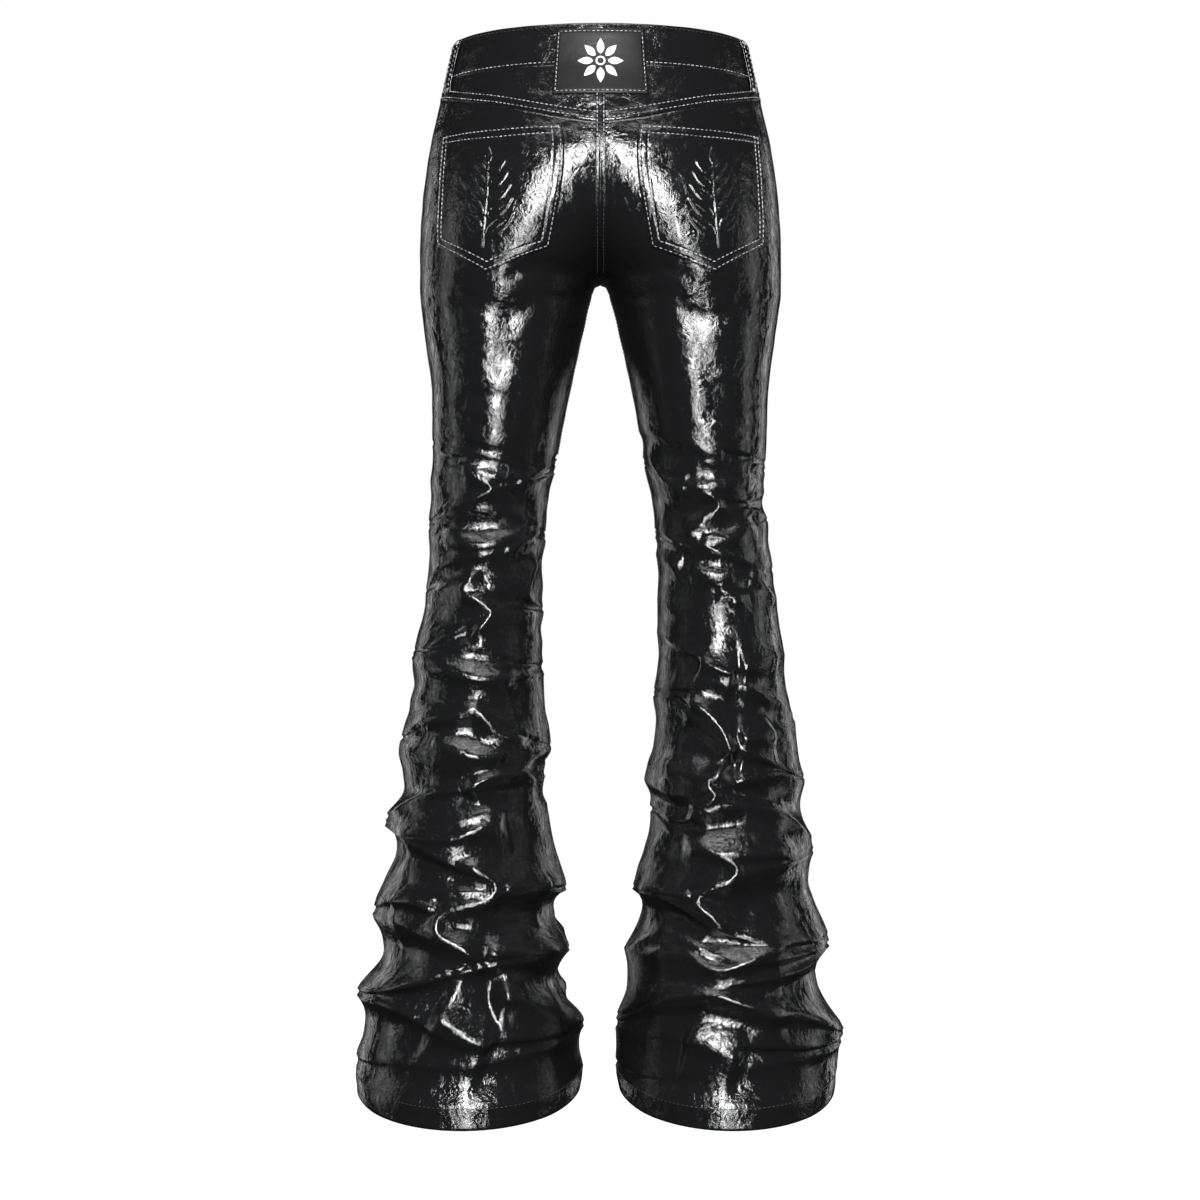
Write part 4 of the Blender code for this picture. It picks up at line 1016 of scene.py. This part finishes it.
class JEANS_OT_legs(bpy.types.Operator):
    """Leg panels: grids whose rows follow the fold lines and whose columns run from outseam to inseam."""

    bl_idname = "jeans.legs"
    bl_label = "Leg panels"

    def execute(self, context):
        for word, half in HALVES:
            for front in (False, True):
                self.make_panel(word, half, front)
        return {"FINISHED"}

    def make_panel(self, word, half, front):
        """One leg's back or front: a wall of cloth on the folded surface, which thickens by a smooth step at
        the turned hem."""
        side = "front" if front else "back"
        rows = self.row_places(half)
        down, degrees = self.panel_grid(half, rows, np.linspace(0, 1, LEG_COLUMNS[side]), front)
        to_hem = half.height_above_hem(down, degrees)
        turned = smooth_step(HEM_HEIGHT + 1.5, HEM_HEIGHT - 1.0, to_hem)[..., None]
        added = turned * (sizes().hem - sizes().cloth)
        outer, normals = half.surface_grid(down, degrees)
        outer = outer + normals * (added * 0.5)
        inner = outer - normals * (sizes().cloth + added)
        piece = add_wall(f"{side}_leg_cloth_{word}", outer, inner, coated_cloth())
        ride(piece, "coated_cloth", f"{side}_leg_{word}")

    def row_places(self, half):
        """Rows from the first fold line to the hem, counted in fold lines, about one row spacing apart."""
        mean = half.heights_of_lines(np.arange(0, 360, 15.0)).mean(axis=1)
        counts = np.maximum(2, np.round(np.diff(mean) / (sizes().row_spacing / MM)).astype(int))
        lines = [line + np.linspace(0, 1, count, endpoint=False) for line, count in enumerate(counts)]
        return np.concatenate([*lines, [half.last]])

    def panel_grid(self, half, rows, share, front):
        """Depths and angles: each row runs from the outseam to where it meets the centre seam or inseam."""
        seam = np.full(rows.shape, half.centre_angle(FORK, front))
        for _ in range(30):
            seam = 0.5 * (seam + half.centre_angle(half.down_at(rows, seam), front))
        start = half.outseam_angle(front)
        degrees = start + (seam[:, None] - start) * share
        down = half.down_at(rows[:, None], degrees)
        if front:
            seat = rows < 1
            part = rows[seat][:, None]
            first_line = half.down_at(np.ones(degrees[seat].shape), degrees[seat])
            down[seat] = front_top(degrees[0]) * (1 - part) + first_line * part
            centre = half.centre_angle(down[seat][:, -1], True)
            degrees[seat] = start + (centre[:, None] - start) * share
        return down, degrees


def front_top(degrees):
    """Top edge of a front leg: under the waistband, then down the scooped pocket mouth to the outseam."""
    from_outseam = np.clip((360.0 - degrees) / POCKET_MOUTH_ANGLE, 0, 1)
    return WAISTBAND_HEIGHT + SEAM_GAP + POCKET_MOUTH_DROP * np.cos(0.5 * math.pi * from_outseam)


class JEANS_OT_yokes(bpy.types.Operator):
    """Yokes: grids from the waistband's seam to the curved seam over each back leg."""

    bl_idname = "jeans.yokes"
    bl_label = "Yokes"

    def execute(self, context):
        for word, half in HALVES:
            steps = np.linspace(0, 1, 30)
            top = WAISTBAND_HEIGHT + SEAM_GAP
            seam_at_centre = half.lines[0, 2]
            at_centre = half.centre_angle(top + (seam_at_centre - top) * steps)
            start = half.outseam_angle()
            degrees = start + (at_centre[:, None] - start) * np.linspace(0, 1, 90)
            seam = half.heights_of_lines(degrees)[0] - SEAM_GAP
            down = top + (seam - top) * steps[:, None]
            surface, normals = half.surface_grid(down, degrees)
            outer = surface + normals * YOKE_PROUD * MM
            piece = add_wall(f"yoke_cloth_{word}", outer, outer - normals * sizes().cloth, coated_cloth())
            ride(piece, "coated_cloth", f"yoke_{word}")
        return {"FINISHED"}


def waist_surface(down, degrees, proud):
    """Points and normals of the smooth waist, 0 degrees at the wearer's left and 90 at the centre back."""
    down, degrees = np.broadcast_arrays(np.asarray(down, float), np.asarray(degrees, float))
    turned = np.mod(degrees, 360.0)
    at_left = (turned <= 90.0) | (turned >= 270.0)
    mirrored = np.mod(180.0 - turned, 360.0)

    def point(raised):
        left, right = LEFT_HALF.point(down, turned, raised), RIGHT_HALF.point(down, mirrored, raised)
        return np.where(at_left[..., None], left, right)

    points = point(proud)
    return points, unit(point(proud + 1.0) - points)


class JEANS_OT_waistband(bpy.types.Operator):
    """Waistband: a strip round the waist whose left end laps over its right end at the centre front."""

    bl_idname = "jeans.waistband"
    bl_label = "Waistband"

    def execute(self, context):
        front, wide = SIDE_OUTLINE[0][2], HIP_OUTLINE[0][1]
        start = 270.0 - math.degrees(BAND_LAP_END / wide)
        under_end = math.degrees(BAND_UNDER_END / wide)
        ramp = math.degrees(BAND_LAP_RAMP / front)
        degrees = np.linspace(start, 630.0 + under_end, 420)
        lap_from = 270.0 + under_end + 1.0
        lift = BAND_PROUD + smooth_step(0, 1, (lap_from + ramp - degrees) / ramp) * (BAND_CLOTH + SEAM_GAP)
        share = np.linspace(0, 1, 26)[:, None]
        down = share * WAISTBAND_HEIGHT
        around = np.broadcast_to(degrees, (len(share), len(degrees)))
        outer, _ = waist_surface(down, around, lift + self.unevenness(share, np.radians(around)))
        inner, _ = waist_surface(down, around, lift - BAND_CLOTH)
        piece = add_wall("waistband_cloth", outer, inner, coated_cloth(), rounding=0.8)
        ride(piece, "coated_cloth", "waistband")
        return {"FINISHED"}

    def unevenness(self, share, turn):
        """Slow waves round the band, its rolled middle and the grooves along both rows of sewing."""
        down = share * WAISTBAND_HEIGHT
        waves = 0.25 * np.sin(9 * turn + 3 * share) + 0.2 * np.sin(23 * turn - 5 * share + 1)
        rows = (BAND_SEWING, WAISTBAND_HEIGHT - BAND_SEWING)
        grooves = sum(np.exp(-((down - at) ** 2)) for at in rows)
        return waves * 0.5 - 0.25 * grooves + 0.5 * np.sin(math.pi * share) ** 0.5 - 0.3


class JEANS_OT_back_pockets(bpy.types.Operator):
    """Back pockets: five-sided patches sewn on the seat, with an embossed leaf sprig."""

    bl_idname = "jeans.back_pockets"
    bl_label = "Back pockets"

    def execute(self, context):
        for word, half in HALVES:
            share = np.linspace(0, 1, POCKET_GRID)
            down, degrees = pocket_place(half, share[:, None], share[None, :])
            across, below = pocket_millimetres(share[None, :], share[:, None])
            edge = pocket_edge_distance(across, below)
            rolled = 1 - np.exp(-np.maximum(edge, 0) / 1.2)
            grooves = sum(np.exp(-(((edge - at) / 0.9) ** 2)) for at in POCKET_GROOVES)
            puff = 0.5 * smooth_step(9, 30, edge)
            lift = 0.5 + 1.3 * rolled - 0.35 * grooves + puff + SPRIG_HEIGHT * leaf_sprig(across, below)
            surface, normals = half.surface_grid(down, degrees)
            outer = surface + normals * lift[..., None] * MM
            inner = surface + normals * POCKET_CLEARANCE * MM
            piece = add_wall(f"back_pocket_cloth_{word}", outer, inner, coated_cloth(), rounding=0.4)
            ride(piece, "coated_cloth", f"back_pocket_{word}")
        return {"FINISHED"}


def pocket_place(half, share_down, share_across):
    """Depth and angle of places on a back pocket, from shares of its height and width."""
    corners = {
        key: np.array([down, float(half.angle_at(down, x))]) for key, (down, x) in POCKET_CORNERS.items()
    }
    outer, inner = corners["outer_bottom"], corners["inner_bottom"]
    tip_share = (corners["tip"][1] - outer[1]) / (inner[1] - outer[1])
    share_down, share_across = np.broadcast_arrays(share_down, share_across)
    top = corners["outer_top"] + share_across[..., None] * (corners["inner_top"] - corners["outer_top"])
    bottom = outer + share_across[..., None] * (inner - outer)
    bottom[..., 0] = np.interp(share_across, (0, tip_share, 1), (outer[0], corners["tip"][0], inner[0]))
    place = top + (bottom - top) * share_down[..., None]
    return place[..., 0], place[..., 1]


def pocket_width(share):
    """Width of the flat pocket at a share of the way down its sides."""
    return POCKET_FLAT["width_top"] + (POCKET_FLAT["width_bottom"] - POCKET_FLAT["width_top"]) * share


def pocket_millimetres(share_across, share_down):
    """Flat place on a pocket: across from its middle, and below its top edge."""
    across = (share_across - 0.5) * pocket_width(share_down)
    drop = POCKET_FLAT["tip"] - POCKET_FLAT["side"]
    depth = POCKET_FLAT["side"] + drop * (1 - np.abs(2 * share_across - 1))
    return across, share_down * depth + 0 * share_across


def pocket_edge_distance(across, below):
    """Distance inside the nearest edge of the flat pocket."""
    sides = 0.5 * pocket_width(below / POCKET_FLAT["side"]) - np.abs(across)
    slope = (POCKET_FLAT["tip"] - POCKET_FLAT["side"]) / (0.5 * POCKET_FLAT["width_bottom"])
    bottom = (POCKET_FLAT["tip"] - slope * np.abs(across) - below) / math.hypot(1, slope)
    return np.minimum(np.minimum(sides, bottom), below + 0.01)


def leaf_height(x, y, root, angle, length, width, soft=0.8):
    """Height of a pointed leaf, whose half-width is a sine of the way along it: raised most along its outline
    and its midrib."""
    cos, sin = math.cos(angle), math.sin(angle)
    along = (x - root[0]) * cos + (y - root[1]) * sin
    beside = -(x - root[0]) * sin + (y - root[1]) * cos
    share = np.clip(along / length, 0, 1)
    inside = 0.5 * width * np.sin(math.pi * share**0.8) - np.abs(beside)
    outline = np.exp(-(((inside - 0.9) / 0.75) ** 2))
    midrib = 0.6 * np.exp(-((beside / 0.7) ** 2)) * smooth_step(0.0, soft, inside)
    height = 0.25 * smooth_step(-0.1, soft, inside) + 0.9 * np.maximum(outline, midrib)
    return height * (along > 0) * (along < length)


def sprig_bend(below):
    """How far the sprig's stem bends sideways: a slow sine of the way down."""
    return 3.0 * np.sin((below - 30.0) / 38.0)


def leaf_sprig(across, below):
    """Height of an embossed sprig: a gently bent stem with pairs of leaves that shrink towards its tip."""
    off_stem = np.abs(across - sprig_bend(below))
    total = smooth_step(1.5, 0.6, off_stem) * smooth_step(29, 32, below) * smooth_step(122, 118, below)
    for step, at in enumerate(LEAF_ROOTS):
        length, width = LEAF_LENGTH - LEAF_SHORTER * step, LEAF_WIDTH - LEAF_NARROWER * step
        for turn in (-1, 1):
            root = (sprig_bend(at) + turn * 1.6, at)
            angle = -math.pi / 2 + turn * math.radians(LEAF_SPREAD)
            total = np.maximum(total, leaf_height(across, below, root, angle, length, width))
    return np.maximum(total, leaf_height(across, below, (0.0, 40.0), -math.pi / 2, 19.0, 8.5))


class JEANS_OT_waist_patch(bpy.types.Operator):
    """Patch over the waistband and yokes at the centre back, with a stitched edge and a plain leaf motif."""

    bl_idname = "jeans.waist_patch"
    bl_label = "Waist patch"

    def execute(self, context):
        across = np.linspace(-1, 1, 91)[None, :] * PATCH_HALF_WIDTH
        down = np.linspace(PATCH_TOP, PATCH_BOTTOM, 67)[:, None]
        edge = np.minimum(down - PATCH_TOP, PATCH_BOTTOM - down)
        edge = np.minimum(PATCH_HALF_WIDTH - np.abs(across), edge)
        groove = np.exp(-(((edge - PATCH_SEWING) / 0.8) ** 2))
        outer, _ = patch_surface(across, down, 1.1 + 0.7 * (1 - np.exp(-edge / 0.9)) - 0.3 * groove)
        inner, _ = patch_surface(across, down, 0.7)
        piece = add_wall("waist_patch_leather", outer, inner, patch_leather())
        ride(piece, "patch", "waist_patch")
        extras = [self.make_motif(), self.make_stitches()]
        for extra in extras:
            ride(extra, "patch")
        return {"FINISHED"}

    def make_motif(self):
        """Eight white leaves printed thickly on the patch, round a small ring. Each leaf's half-width is a
        sine of the way along it."""
        centre_down = 0.5 * (PATCH_TOP + PATCH_BOTTOM)
        share = np.linspace(0, 1, 15)[:, None]
        reach = MOTIF_START + MOTIF_LEAF_LENGTH * share
        half_width = MOTIF_LEAF_HALF_WIDTH * np.sin(math.pi * share**0.8) + 0.02
        beside = np.linspace(-1, 1, 7)[None, :] * half_width
        parts = []
        for turn in np.radians(np.arange(0, 360, 45.0)):
            x = reach * math.cos(turn) - beside * math.sin(turn)
            y = centre_down + reach * math.sin(turn) + beside * math.cos(turn)
            parts.append((x, y))
        ring = np.linspace(0, 2 * math.pi, 41)[:, None]
        radius = np.linspace(*MOTIF_RING, 4)[None, :]
        parts.append((radius * np.cos(ring), centre_down + radius * np.sin(ring)))
        meshes = []
        for x, y in parts:
            points, quads, _ = wall_arrays(patch_surface(x, y, 2.0)[0], patch_surface(x, y, 1.6)[0])
            meshes.append((points, quads, np.zeros((0, 3), int)))
        return join_meshes("waist_patch_motif", meshes, printed_motif())

    def make_stitches(self):
        """One row of sewing inside the patch's four edges."""
        wide = PATCH_HALF_WIDTH - PATCH_SEWING
        top, bottom = PATCH_TOP + PATCH_SEWING, PATCH_BOTTOM - PATCH_SEWING
        corners = [(-wide, top), (wide, top), (wide, bottom), (-wide, bottom), (-wide, top)]
        share = np.linspace(0, 1, 40)
        parts = []
        for (x0, y0), (x1, y1) in zip(corners[:-1], corners[1:]):
            surface = patch_surface(x0 + (x1 - x0) * share, y0 + (y1 - y0) * share, 1.5)
            parts.append(stitch_row(*surface, *PATCH_STITCH))
        return join_meshes("waist_patch_stitches", parts, pale_thread())


def patch_surface(across, down, proud):
    """Points and normals over the waistband at the centre back, by distance across and depth."""
    degrees = 90.0 - np.degrees(np.arcsin(across / HIP_OUTLINE[1][1]))
    return waist_surface(down, degrees, BAND_PROUD + proud)


class JEANS_OT_belt_loops(bpy.types.Operator):
    """Belt loops: strips sewn down at both ends with bar tacks, standing off the waistband between them."""

    bl_idname = "jeans.belt_loops"
    bl_label = "Belt loops"

    def execute(self, context):
        for word, half in HALVES:
            for place, degrees in (("back", BACK_LOOP_ANGLE), ("front", FRONT_LOOP_ANGLE)):
                self.make_loop(f"belt_loop_{place}_{word}", half, degrees)
        return {"FINISHED"}

    def make_loop(self, node, half, degrees):
        """A strip that stands off the band between its ends, with two rows of sewing and two bar tacks."""
        _, wide, deep, _ = half.body(LOOP_TOP, degrees)
        turn = math.radians(degrees)
        per_degree = math.radians(math.hypot(float(wide) * math.sin(turn), float(deep) * math.cos(turn)))

        def strip(share, across, proud):
            """Points and normals at shares of the loop's length, which rises as a sine cut off flat."""
            share, across = np.broadcast_arrays(share, across)
            rise = LOOP_RISE * np.clip(np.sin(math.pi * share) * 1.6, 0, 1) ** 0.8
            down = LOOP_TOP + (LOOP_BOTTOM - LOOP_TOP) * share
            angles = degrees + across / per_degree
            near = BAND_PROUD + 0.3 + rise + proud
            points = half.point(down, angles, near)
            return points, unit(half.point(down, angles, near + 1) - points)

        share = np.linspace(0, 1, 60)[:, None]
        across = np.linspace(-0.5, 0.5, 17)[None, :] * LOOP_WIDTH
        edge = 0.5 * LOOP_WIDTH - np.abs(across)
        lift = 1.2 * (1 - np.exp(-edge / 0.7)) + 0.35 * np.exp(-((across / 2.2) ** 2))
        outer, _ = strip(share, across, 0.5 + lift)
        inner, _ = strip(share, across, 0.0)
        piece = add_wall(f"{node}_cloth", outer, inner, coated_cloth())
        ride(piece, "coated_cloth", node)
        runs = []
        for offset in (-LOOP_SEWING, LOOP_SEWING):
            row = strip(np.linspace(0.02, 0.98, 60), offset, 1.45)
            runs.append(stitch_row(*row, *stitch_sizes()))
        tack_across = np.linspace(-BAR_TACK_REACH, BAR_TACK_REACH, 8)
        for middle in BAR_TACK_PLACES:
            for k in range(-2, 3):
                tack = strip(middle + BAR_TACK_STEP * k, tack_across, 1.7)
                runs.append(stitch_row(*tack, *BAR_TACK))
        sewing = join_meshes(f"{node}_stitches", runs, pale_thread())
        ride(sewing, "coated_cloth")


class JEANS_OT_front_closing(bpy.types.Operator):
    """Pieces behind the pocket mouths and the centre front, and the button's metal."""

    bl_idname = "jeans.front_closing"
    bl_label = "Front closing"

    def execute(self, context):
        for word, half in HALVES:
            self.make_facing(word, half)
        self.make_shield()
        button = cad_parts["waist_button"]
        if not button.material_slots:
            button.data.materials.append(dark_metal())
        for slot in button.material_slots:
            slot.material = dark_metal()
        return {"FINISHED"}

    def make_facing(self, word, half):
        """Piece behind a pocket mouth, from the outseam towards the front, inside the front leg."""
        share = np.linspace(0, 1, FACING_GRID)
        start, top = half.outseam_angle(True), WAISTBAND_HEIGHT - UNDER_BAND
        degrees = (start + (FACING_FRONT_ANGLE - start) * share)[None, :]
        down = (top + (FACING_BOTTOM - top) * share)[:, None]
        outer = half.point(down, degrees, -FACING_BEHIND)
        inner = half.point(down, degrees, -FACING_BEHIND - FACING_CLOTH)
        piece = add_wall(f"pocket_facing_cloth_{word}", outer, inner, coated_cloth())
        ride(piece, "coated_cloth", f"pocket_facing_{word}")

    def make_shield(self):
        """Strip behind the centre front's closing."""
        x = np.concatenate([np.linspace(SHIELD_RIGHT, 0, 12), np.linspace(0, SHIELD_LEFT, 30)[1:]])
        down = np.linspace(WAISTBAND_HEIGHT - UNDER_BAND, SHIELD_BOTTOM, 70)[:, None]
        left, right = (half.point(down, half.angle_at(down, np.abs(x), True)) for _, half in HALVES)
        outer = np.where((x >= 0)[None, :, None], left, right) + np.array([0, SHIELD_BEHIND, 0]) * MM
        inner = outer + np.array([0, FACING_CLOTH, 0]) * MM
        piece = add_wall("fly_shield_cloth", outer, inner, coated_cloth())
        ride(piece, "coated_cloth", "fly_shield")


def centre_surface(down, across, proud, front=False):
    """Points and normals at the centre back or front. Across is measured from the centre line."""
    down, across = np.broadcast_arrays(np.asarray(down, float), np.asarray(across, float))

    def side(half):
        limit = np.maximum if front else np.minimum
        angles = half.angle_at(down, np.abs(across), front)
        return half.surface(down, limit(angles, half.centre_angle(down, front, gap=0.0)))

    (left, left_out), (right, right_out) = side(LEFT_HALF), side(RIGHT_HALF)
    at_left = (across >= 0)[..., None]
    normals = unit(np.where(at_left, left_out, right_out) * np.array([0.3, 1, 1]))
    proud = np.broadcast_to(proud, down.shape)[..., None] * MM
    return np.where(at_left, left, right) + normals * proud, normals


class JEANS_OT_seams(bpy.types.Operator):
    """Sewing: felled centre seams, double rows at the yokes and pockets, one row at each hem, and the front's
    rows.
    """

    bl_idname = "jeans.seams"
    bl_label = "Seams and stitching"

    def execute(self, context):
        self.make_fell("centre_back_fell", WAISTBAND_HEIGHT + 0.5, 0.2, False)
        self.make_fell("centre_front_fell", CLOSING_END + 1.0, 0.1, True)
        self.pale, self.dark = [], []
        for _, half in HALVES:
            self.sew_half(half)
        self.sew_fells()
        self.sew_band()
        self.sew_closing()
        ride(join_meshes("pale_stitches", self.pale, pale_thread()), "coated_cloth")
        ride(join_meshes("dark_stitches", self.dark, dark_thread()), "coated_cloth")
        return {"FINISHED"}

    def make_fell(self, name, top, cut_length, front):
        """Felled seam: a strip over the centre join, down to the fork, with a groove along its sewing."""
        down = np.linspace(top, FORK - 0.6, 80)[:, None]
        across = np.linspace(-1, 1, 25)[None, :] * FELL_HALF_WIDTH
        edge = FELL_HALF_WIDTH - np.abs(across)
        groove = np.exp(-(((edge - (FELL_HALF_WIDTH - FELL_SEWING)) / 0.7) ** 2))
        lift = 0.25 + 0.75 * (1 - np.exp(-edge / 0.6)) - 0.25 * groove
        outer, _ = centre_surface(down, across, lift, front)
        inner, _ = centre_surface(down, across, -0.2, front)
        piece = add_wall(name, outer, inner, coated_cloth(), rounding=0.4)
        ride(piece, "coated_cloth")

    def sew(self, run, surface):
        """One row of plain stitches along a path of points and normals."""
        run.append(stitch_row(*surface, *stitch_sizes()))

    def sew_fells(self):
        """Two rows down each centre seam: at the back pale as far as the middle of the seat and then dark."""
        down = np.linspace(WAISTBAND_HEIGHT + 6, FORK - 4, FELL_PLACES)
        down_front = np.linspace(CLOSING_END + 4, FORK - 4, 60)
        for offset in (-FELL_SEWING, FELL_SEWING):
            points, normals = centre_surface(down, offset, 0.8)
            self.sew(self.pale, (points[:PALE_FELL_PLACES], normals[:PALE_FELL_PLACES]))
            self.sew(self.dark, (points[PALE_FELL_PLACES:], normals[PALE_FELL_PLACES:]))
            self.sew(self.dark, centre_surface(down_front, offset, 0.8, True))

    def sew_half(self, half):
        """One half's yoke, pocket, hem, inseam and pocket mouth."""
        self.sew_yoke(half)
        for inset in POCKET_SEWING:
            self.sew_pocket(half, inset)
        for front in (False, True):
            inseam = half.centre_angle(INSEAM_READ_AT, front)
            degrees = np.linspace(half.outseam_angle(front), inseam, 160)
            hem = round_the_leg(half.lines[-1:], degrees)[0]
            self.sew(self.dark, half.surface(hem - HEM_HEIGHT + 1.5, degrees, 0.6))
            down = np.linspace(FORK + 12, INSEAM_SEWN_TO, 500)
            beside = math.degrees(EDGE_SEWING / LEG_RADIUS) * (1 if front else -1)
            row = half.surface(down, half.centre_angle(down, front) + beside)
            self.dark.append(stitch_row(*row, *INSEAM_STITCH))
        mouth = np.linspace(*MOUTH_SEWN, 90)
        for below in MOUTH_SEWING:
            self.sew(self.pale, half.surface(front_top(mouth) + below, mouth - 0.4))

    def sew_yoke(self, half):
        """Two rows above the seam between the yoke and the back leg."""
        degrees = np.linspace(half.outseam_angle(), half.centre_angle(half.lines[0, 2]) - 2.5, 140)
        for above in (EDGE_SEWING, SECOND_SEWING):
            self.sew(self.pale, half.surface(half.heights_of_lines(degrees)[0] - above, degrees, 0.4))

    def sew_pocket(self, half, inset):
        """One row inside a back pocket's sides and point, and one below its top edge."""
        side, high = inset / POCKET_FLAT["width_top"], 0.012
        low = 1 - inset / POCKET_SEWN_DEPTH
        corners = [(side, high), (side, low), (0.5, low), (1 - side, low), (1 - side, high)]
        share = np.linspace(0, 1, 60)
        for (a0, d0), (a1, d1) in zip(corners[:-1], corners[1:]):
            place = pocket_place(half, d0 + (d1 - d0) * share, a0 + (a1 - a0) * share)
            self.sew(self.pale, half.surface(*place, 1.5))
        place = pocket_place(half, (inset + 0.5) / POCKET_SEWN_DEPTH, np.linspace(0.02, 0.98, 70))
        self.sew(self.pale, half.surface(*place, 1.6))

    def sew_closing(self):
        """Two rows beside the closing, straight down and then curving in to it as a quarter of an ellipse."""
        down = np.linspace(WAISTBAND_HEIGHT + 5, CLOSING_END, 120)
        bend = np.clip((down - CLOSING_BEND) / (CLOSING_END - CLOSING_BEND), 0, 1)
        for reach in (CLOSING_WIDTH, CLOSING_WIDTH - CLOSING_ROWS_APART):
            x = 1.5 + reach * np.sqrt(1 - bend**2)
            self.sew(self.pale, LEFT_HALF.surface(down, LEFT_HALF.angle_at(down, x, front=True), 0.3))

    def sew_band(self):
        """A dark row along the waistband's top edge and a pale one along its seam."""
        degrees = np.linspace(270.0 + 12, 630.0 + 5, 700)
        for down, run in ((BAND_SEWING, self.dark), (WAISTBAND_HEIGHT - BAND_SEWING, self.pale)):
            self.sew(run, waist_surface(down, degrees, BAND_PROUD))


class JEANS_OT_stage(bpy.types.Operator):
    """Camera at the photograph's place, a pale floor, a white ground and soft studio lights."""

    bl_idname = "jeans.stage"
    bl_label = "Stage"

    def execute(self, context):
        stage = context.scene.jeans_stage
        self.add_camera(context, stage)
        self.add_floor(stage)
        self.add_world(context)
        context.scene.view_settings.view_transform = "Standard"
        middle = Vector((0, 0, stage.camera_height))
        for name, place, size, watts in (
            ("key_strip", (0.0, 3.0, -0.5), (0.55, 3.8), stage.key),
            ("key_core", (0.0, 3.0, 0.55), (0.8, 1.5), stage.core),
            ("side_left", (2.8, -0.3, -0.4), (0.5, 2.6), stage.side),
            ("side_right", (-2.8, -0.3, -0.4), (0.5, 2.6), stage.side),
            ("rim_left", (2.2, -2.5, -0.5), (0.4, 3.0), stage.rim),
            ("rim_right", (-2.2, -2.5, -0.5), (0.4, 3.0), stage.rim),
        ):
            self.add_light(name, place, middle, size, watts)
        self.add_light("top_soft", (0.0, 0.6, 1.7), Vector((0, 0, -0.2)), (1.2, 0.8), stage.top)
        return {"FINISHED"}

    def add_camera(self, context, stage):
        """Camera behind the jeans whose lens spans the photograph's width at the middle plane."""
        lens = bpy.data.cameras.new("photo_camera")
        lens.sensor_width = SENSOR_WIDTH
        lens.lens = SENSOR_WIDTH * stage.camera_distance / PHOTO_WIDTH
        camera = bpy.data.objects.new("photo_camera", lens)
        camera.location = (CAMERA_ACROSS * MM, stage.camera_distance, stage.camera_height)
        camera.rotation_euler = (math.pi / 2, 0, math.pi)
        context.scene.collection.objects.link(camera)
        context.scene.camera = camera

    def add_floor(self, stage):
        """A wide flat floor that only the camera sees."""
        line = np.linspace(-FLOOR_REACH, FLOOR_REACH, 9)
        x, y = np.meshgrid(line, line)
        points = np.stack([x, y, np.full_like(x, stage.floor)], -1).reshape(-1, 3)
        grid = np.arange(x.size).reshape(x.shape)
        quads = np.stack([grid[:-1, :-1], grid[:-1, 1:], grid[1:, 1:], grid[1:, :-1]], -1).reshape(-1, 4)
        floor = add_mesh("floor", points, quads, pale_floor())
        floor.visible_glossy = floor.visible_diffuse = False

    def add_world(self, context):
        """White to the camera, and nearly black to the cloth."""
        world = bpy.data.worlds.new("white_ground")
        world.use_nodes = True
        tree = world.node_tree
        seen = tree.nodes.new("ShaderNodeLightPath").outputs["Is Camera Ray"]
        shade = add_shade(tree, seen, (0.02, 0.02, 0.021), (1.0, 1.0, 1.0))
        tree.links.new(shade, tree.nodes["Background"].inputs["Color"])
        context.scene.world = world

    def add_light(self, name, place, aim, size, watts):
        """An oblong light turned towards its aim."""
        data = bpy.data.lights.new(name, "AREA")
        data.shape = "RECTANGLE"
        data.size, data.size_y = size
        data.energy = watts
        light = bpy.data.objects.new(name, data)
        light.location = place
        light.rotation_euler = (aim - Vector(place)).to_track_quat("-Z", "Y").to_euler()
        bpy.context.scene.collection.objects.link(light)


class JEANS_PT_panel(bpy.types.Panel):
    """Lists the makers of the jeans' pieces."""

    bl_label = "Jeans"
    bl_space_type = "VIEW_3D"
    bl_region_type = "UI"
    bl_category = "Jeans"

    def draw(self, context):
        for group_name, kind in GROUPS:
            for name in kind.__annotations__:
                self.layout.prop(getattr(context.scene, group_name), name)
        for maker in MAKERS:
            self.layout.operator(maker.bl_idname)


MAKERS = (
    JEANS_OT_stage,
    JEANS_OT_waistband,
    JEANS_OT_yokes,
    JEANS_OT_legs,
    JEANS_OT_back_pockets,
    JEANS_OT_waist_patch,
    JEANS_OT_belt_loops,
    JEANS_OT_front_closing,
    JEANS_OT_seams,
)
GROUPS = (("jeans_sizes", JEANS_PG_sizes), ("jeans_finish", JEANS_PG_finish), ("jeans_stage", JEANS_PG_stage))


def register():
    """Makes the settings, the makers and the panel known to Blender."""
    for _, group in GROUPS:
        bpy.utils.register_class(group)
    for name, group in GROUPS:
        setattr(bpy.types.Scene, name, PointerProperty(type=group))
    for maker in (*MAKERS, JEANS_PT_panel):
        bpy.utils.register_class(maker)


def unregister():
    """Takes them away again, last first."""
    for maker in (JEANS_PT_panel, *reversed(MAKERS)):
        bpy.utils.unregister_class(maker)
    for name, group in reversed(GROUPS):
        delattr(bpy.types.Scene, name)
        bpy.utils.unregister_class(group)


def main():
    """Builds the jeans piece by piece."""
    register()
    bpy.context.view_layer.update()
    bpy.ops.jeans.stage()
    bpy.ops.jeans.waistband()
    bpy.ops.jeans.yokes()
    bpy.ops.jeans.legs()
    bpy.ops.jeans.back_pockets()
    bpy.ops.jeans.waist_patch()
    bpy.ops.jeans.belt_loops()
    bpy.ops.jeans.front_closing()
    bpy.ops.jeans.seams()


if __name__ == "__main__":
    main()
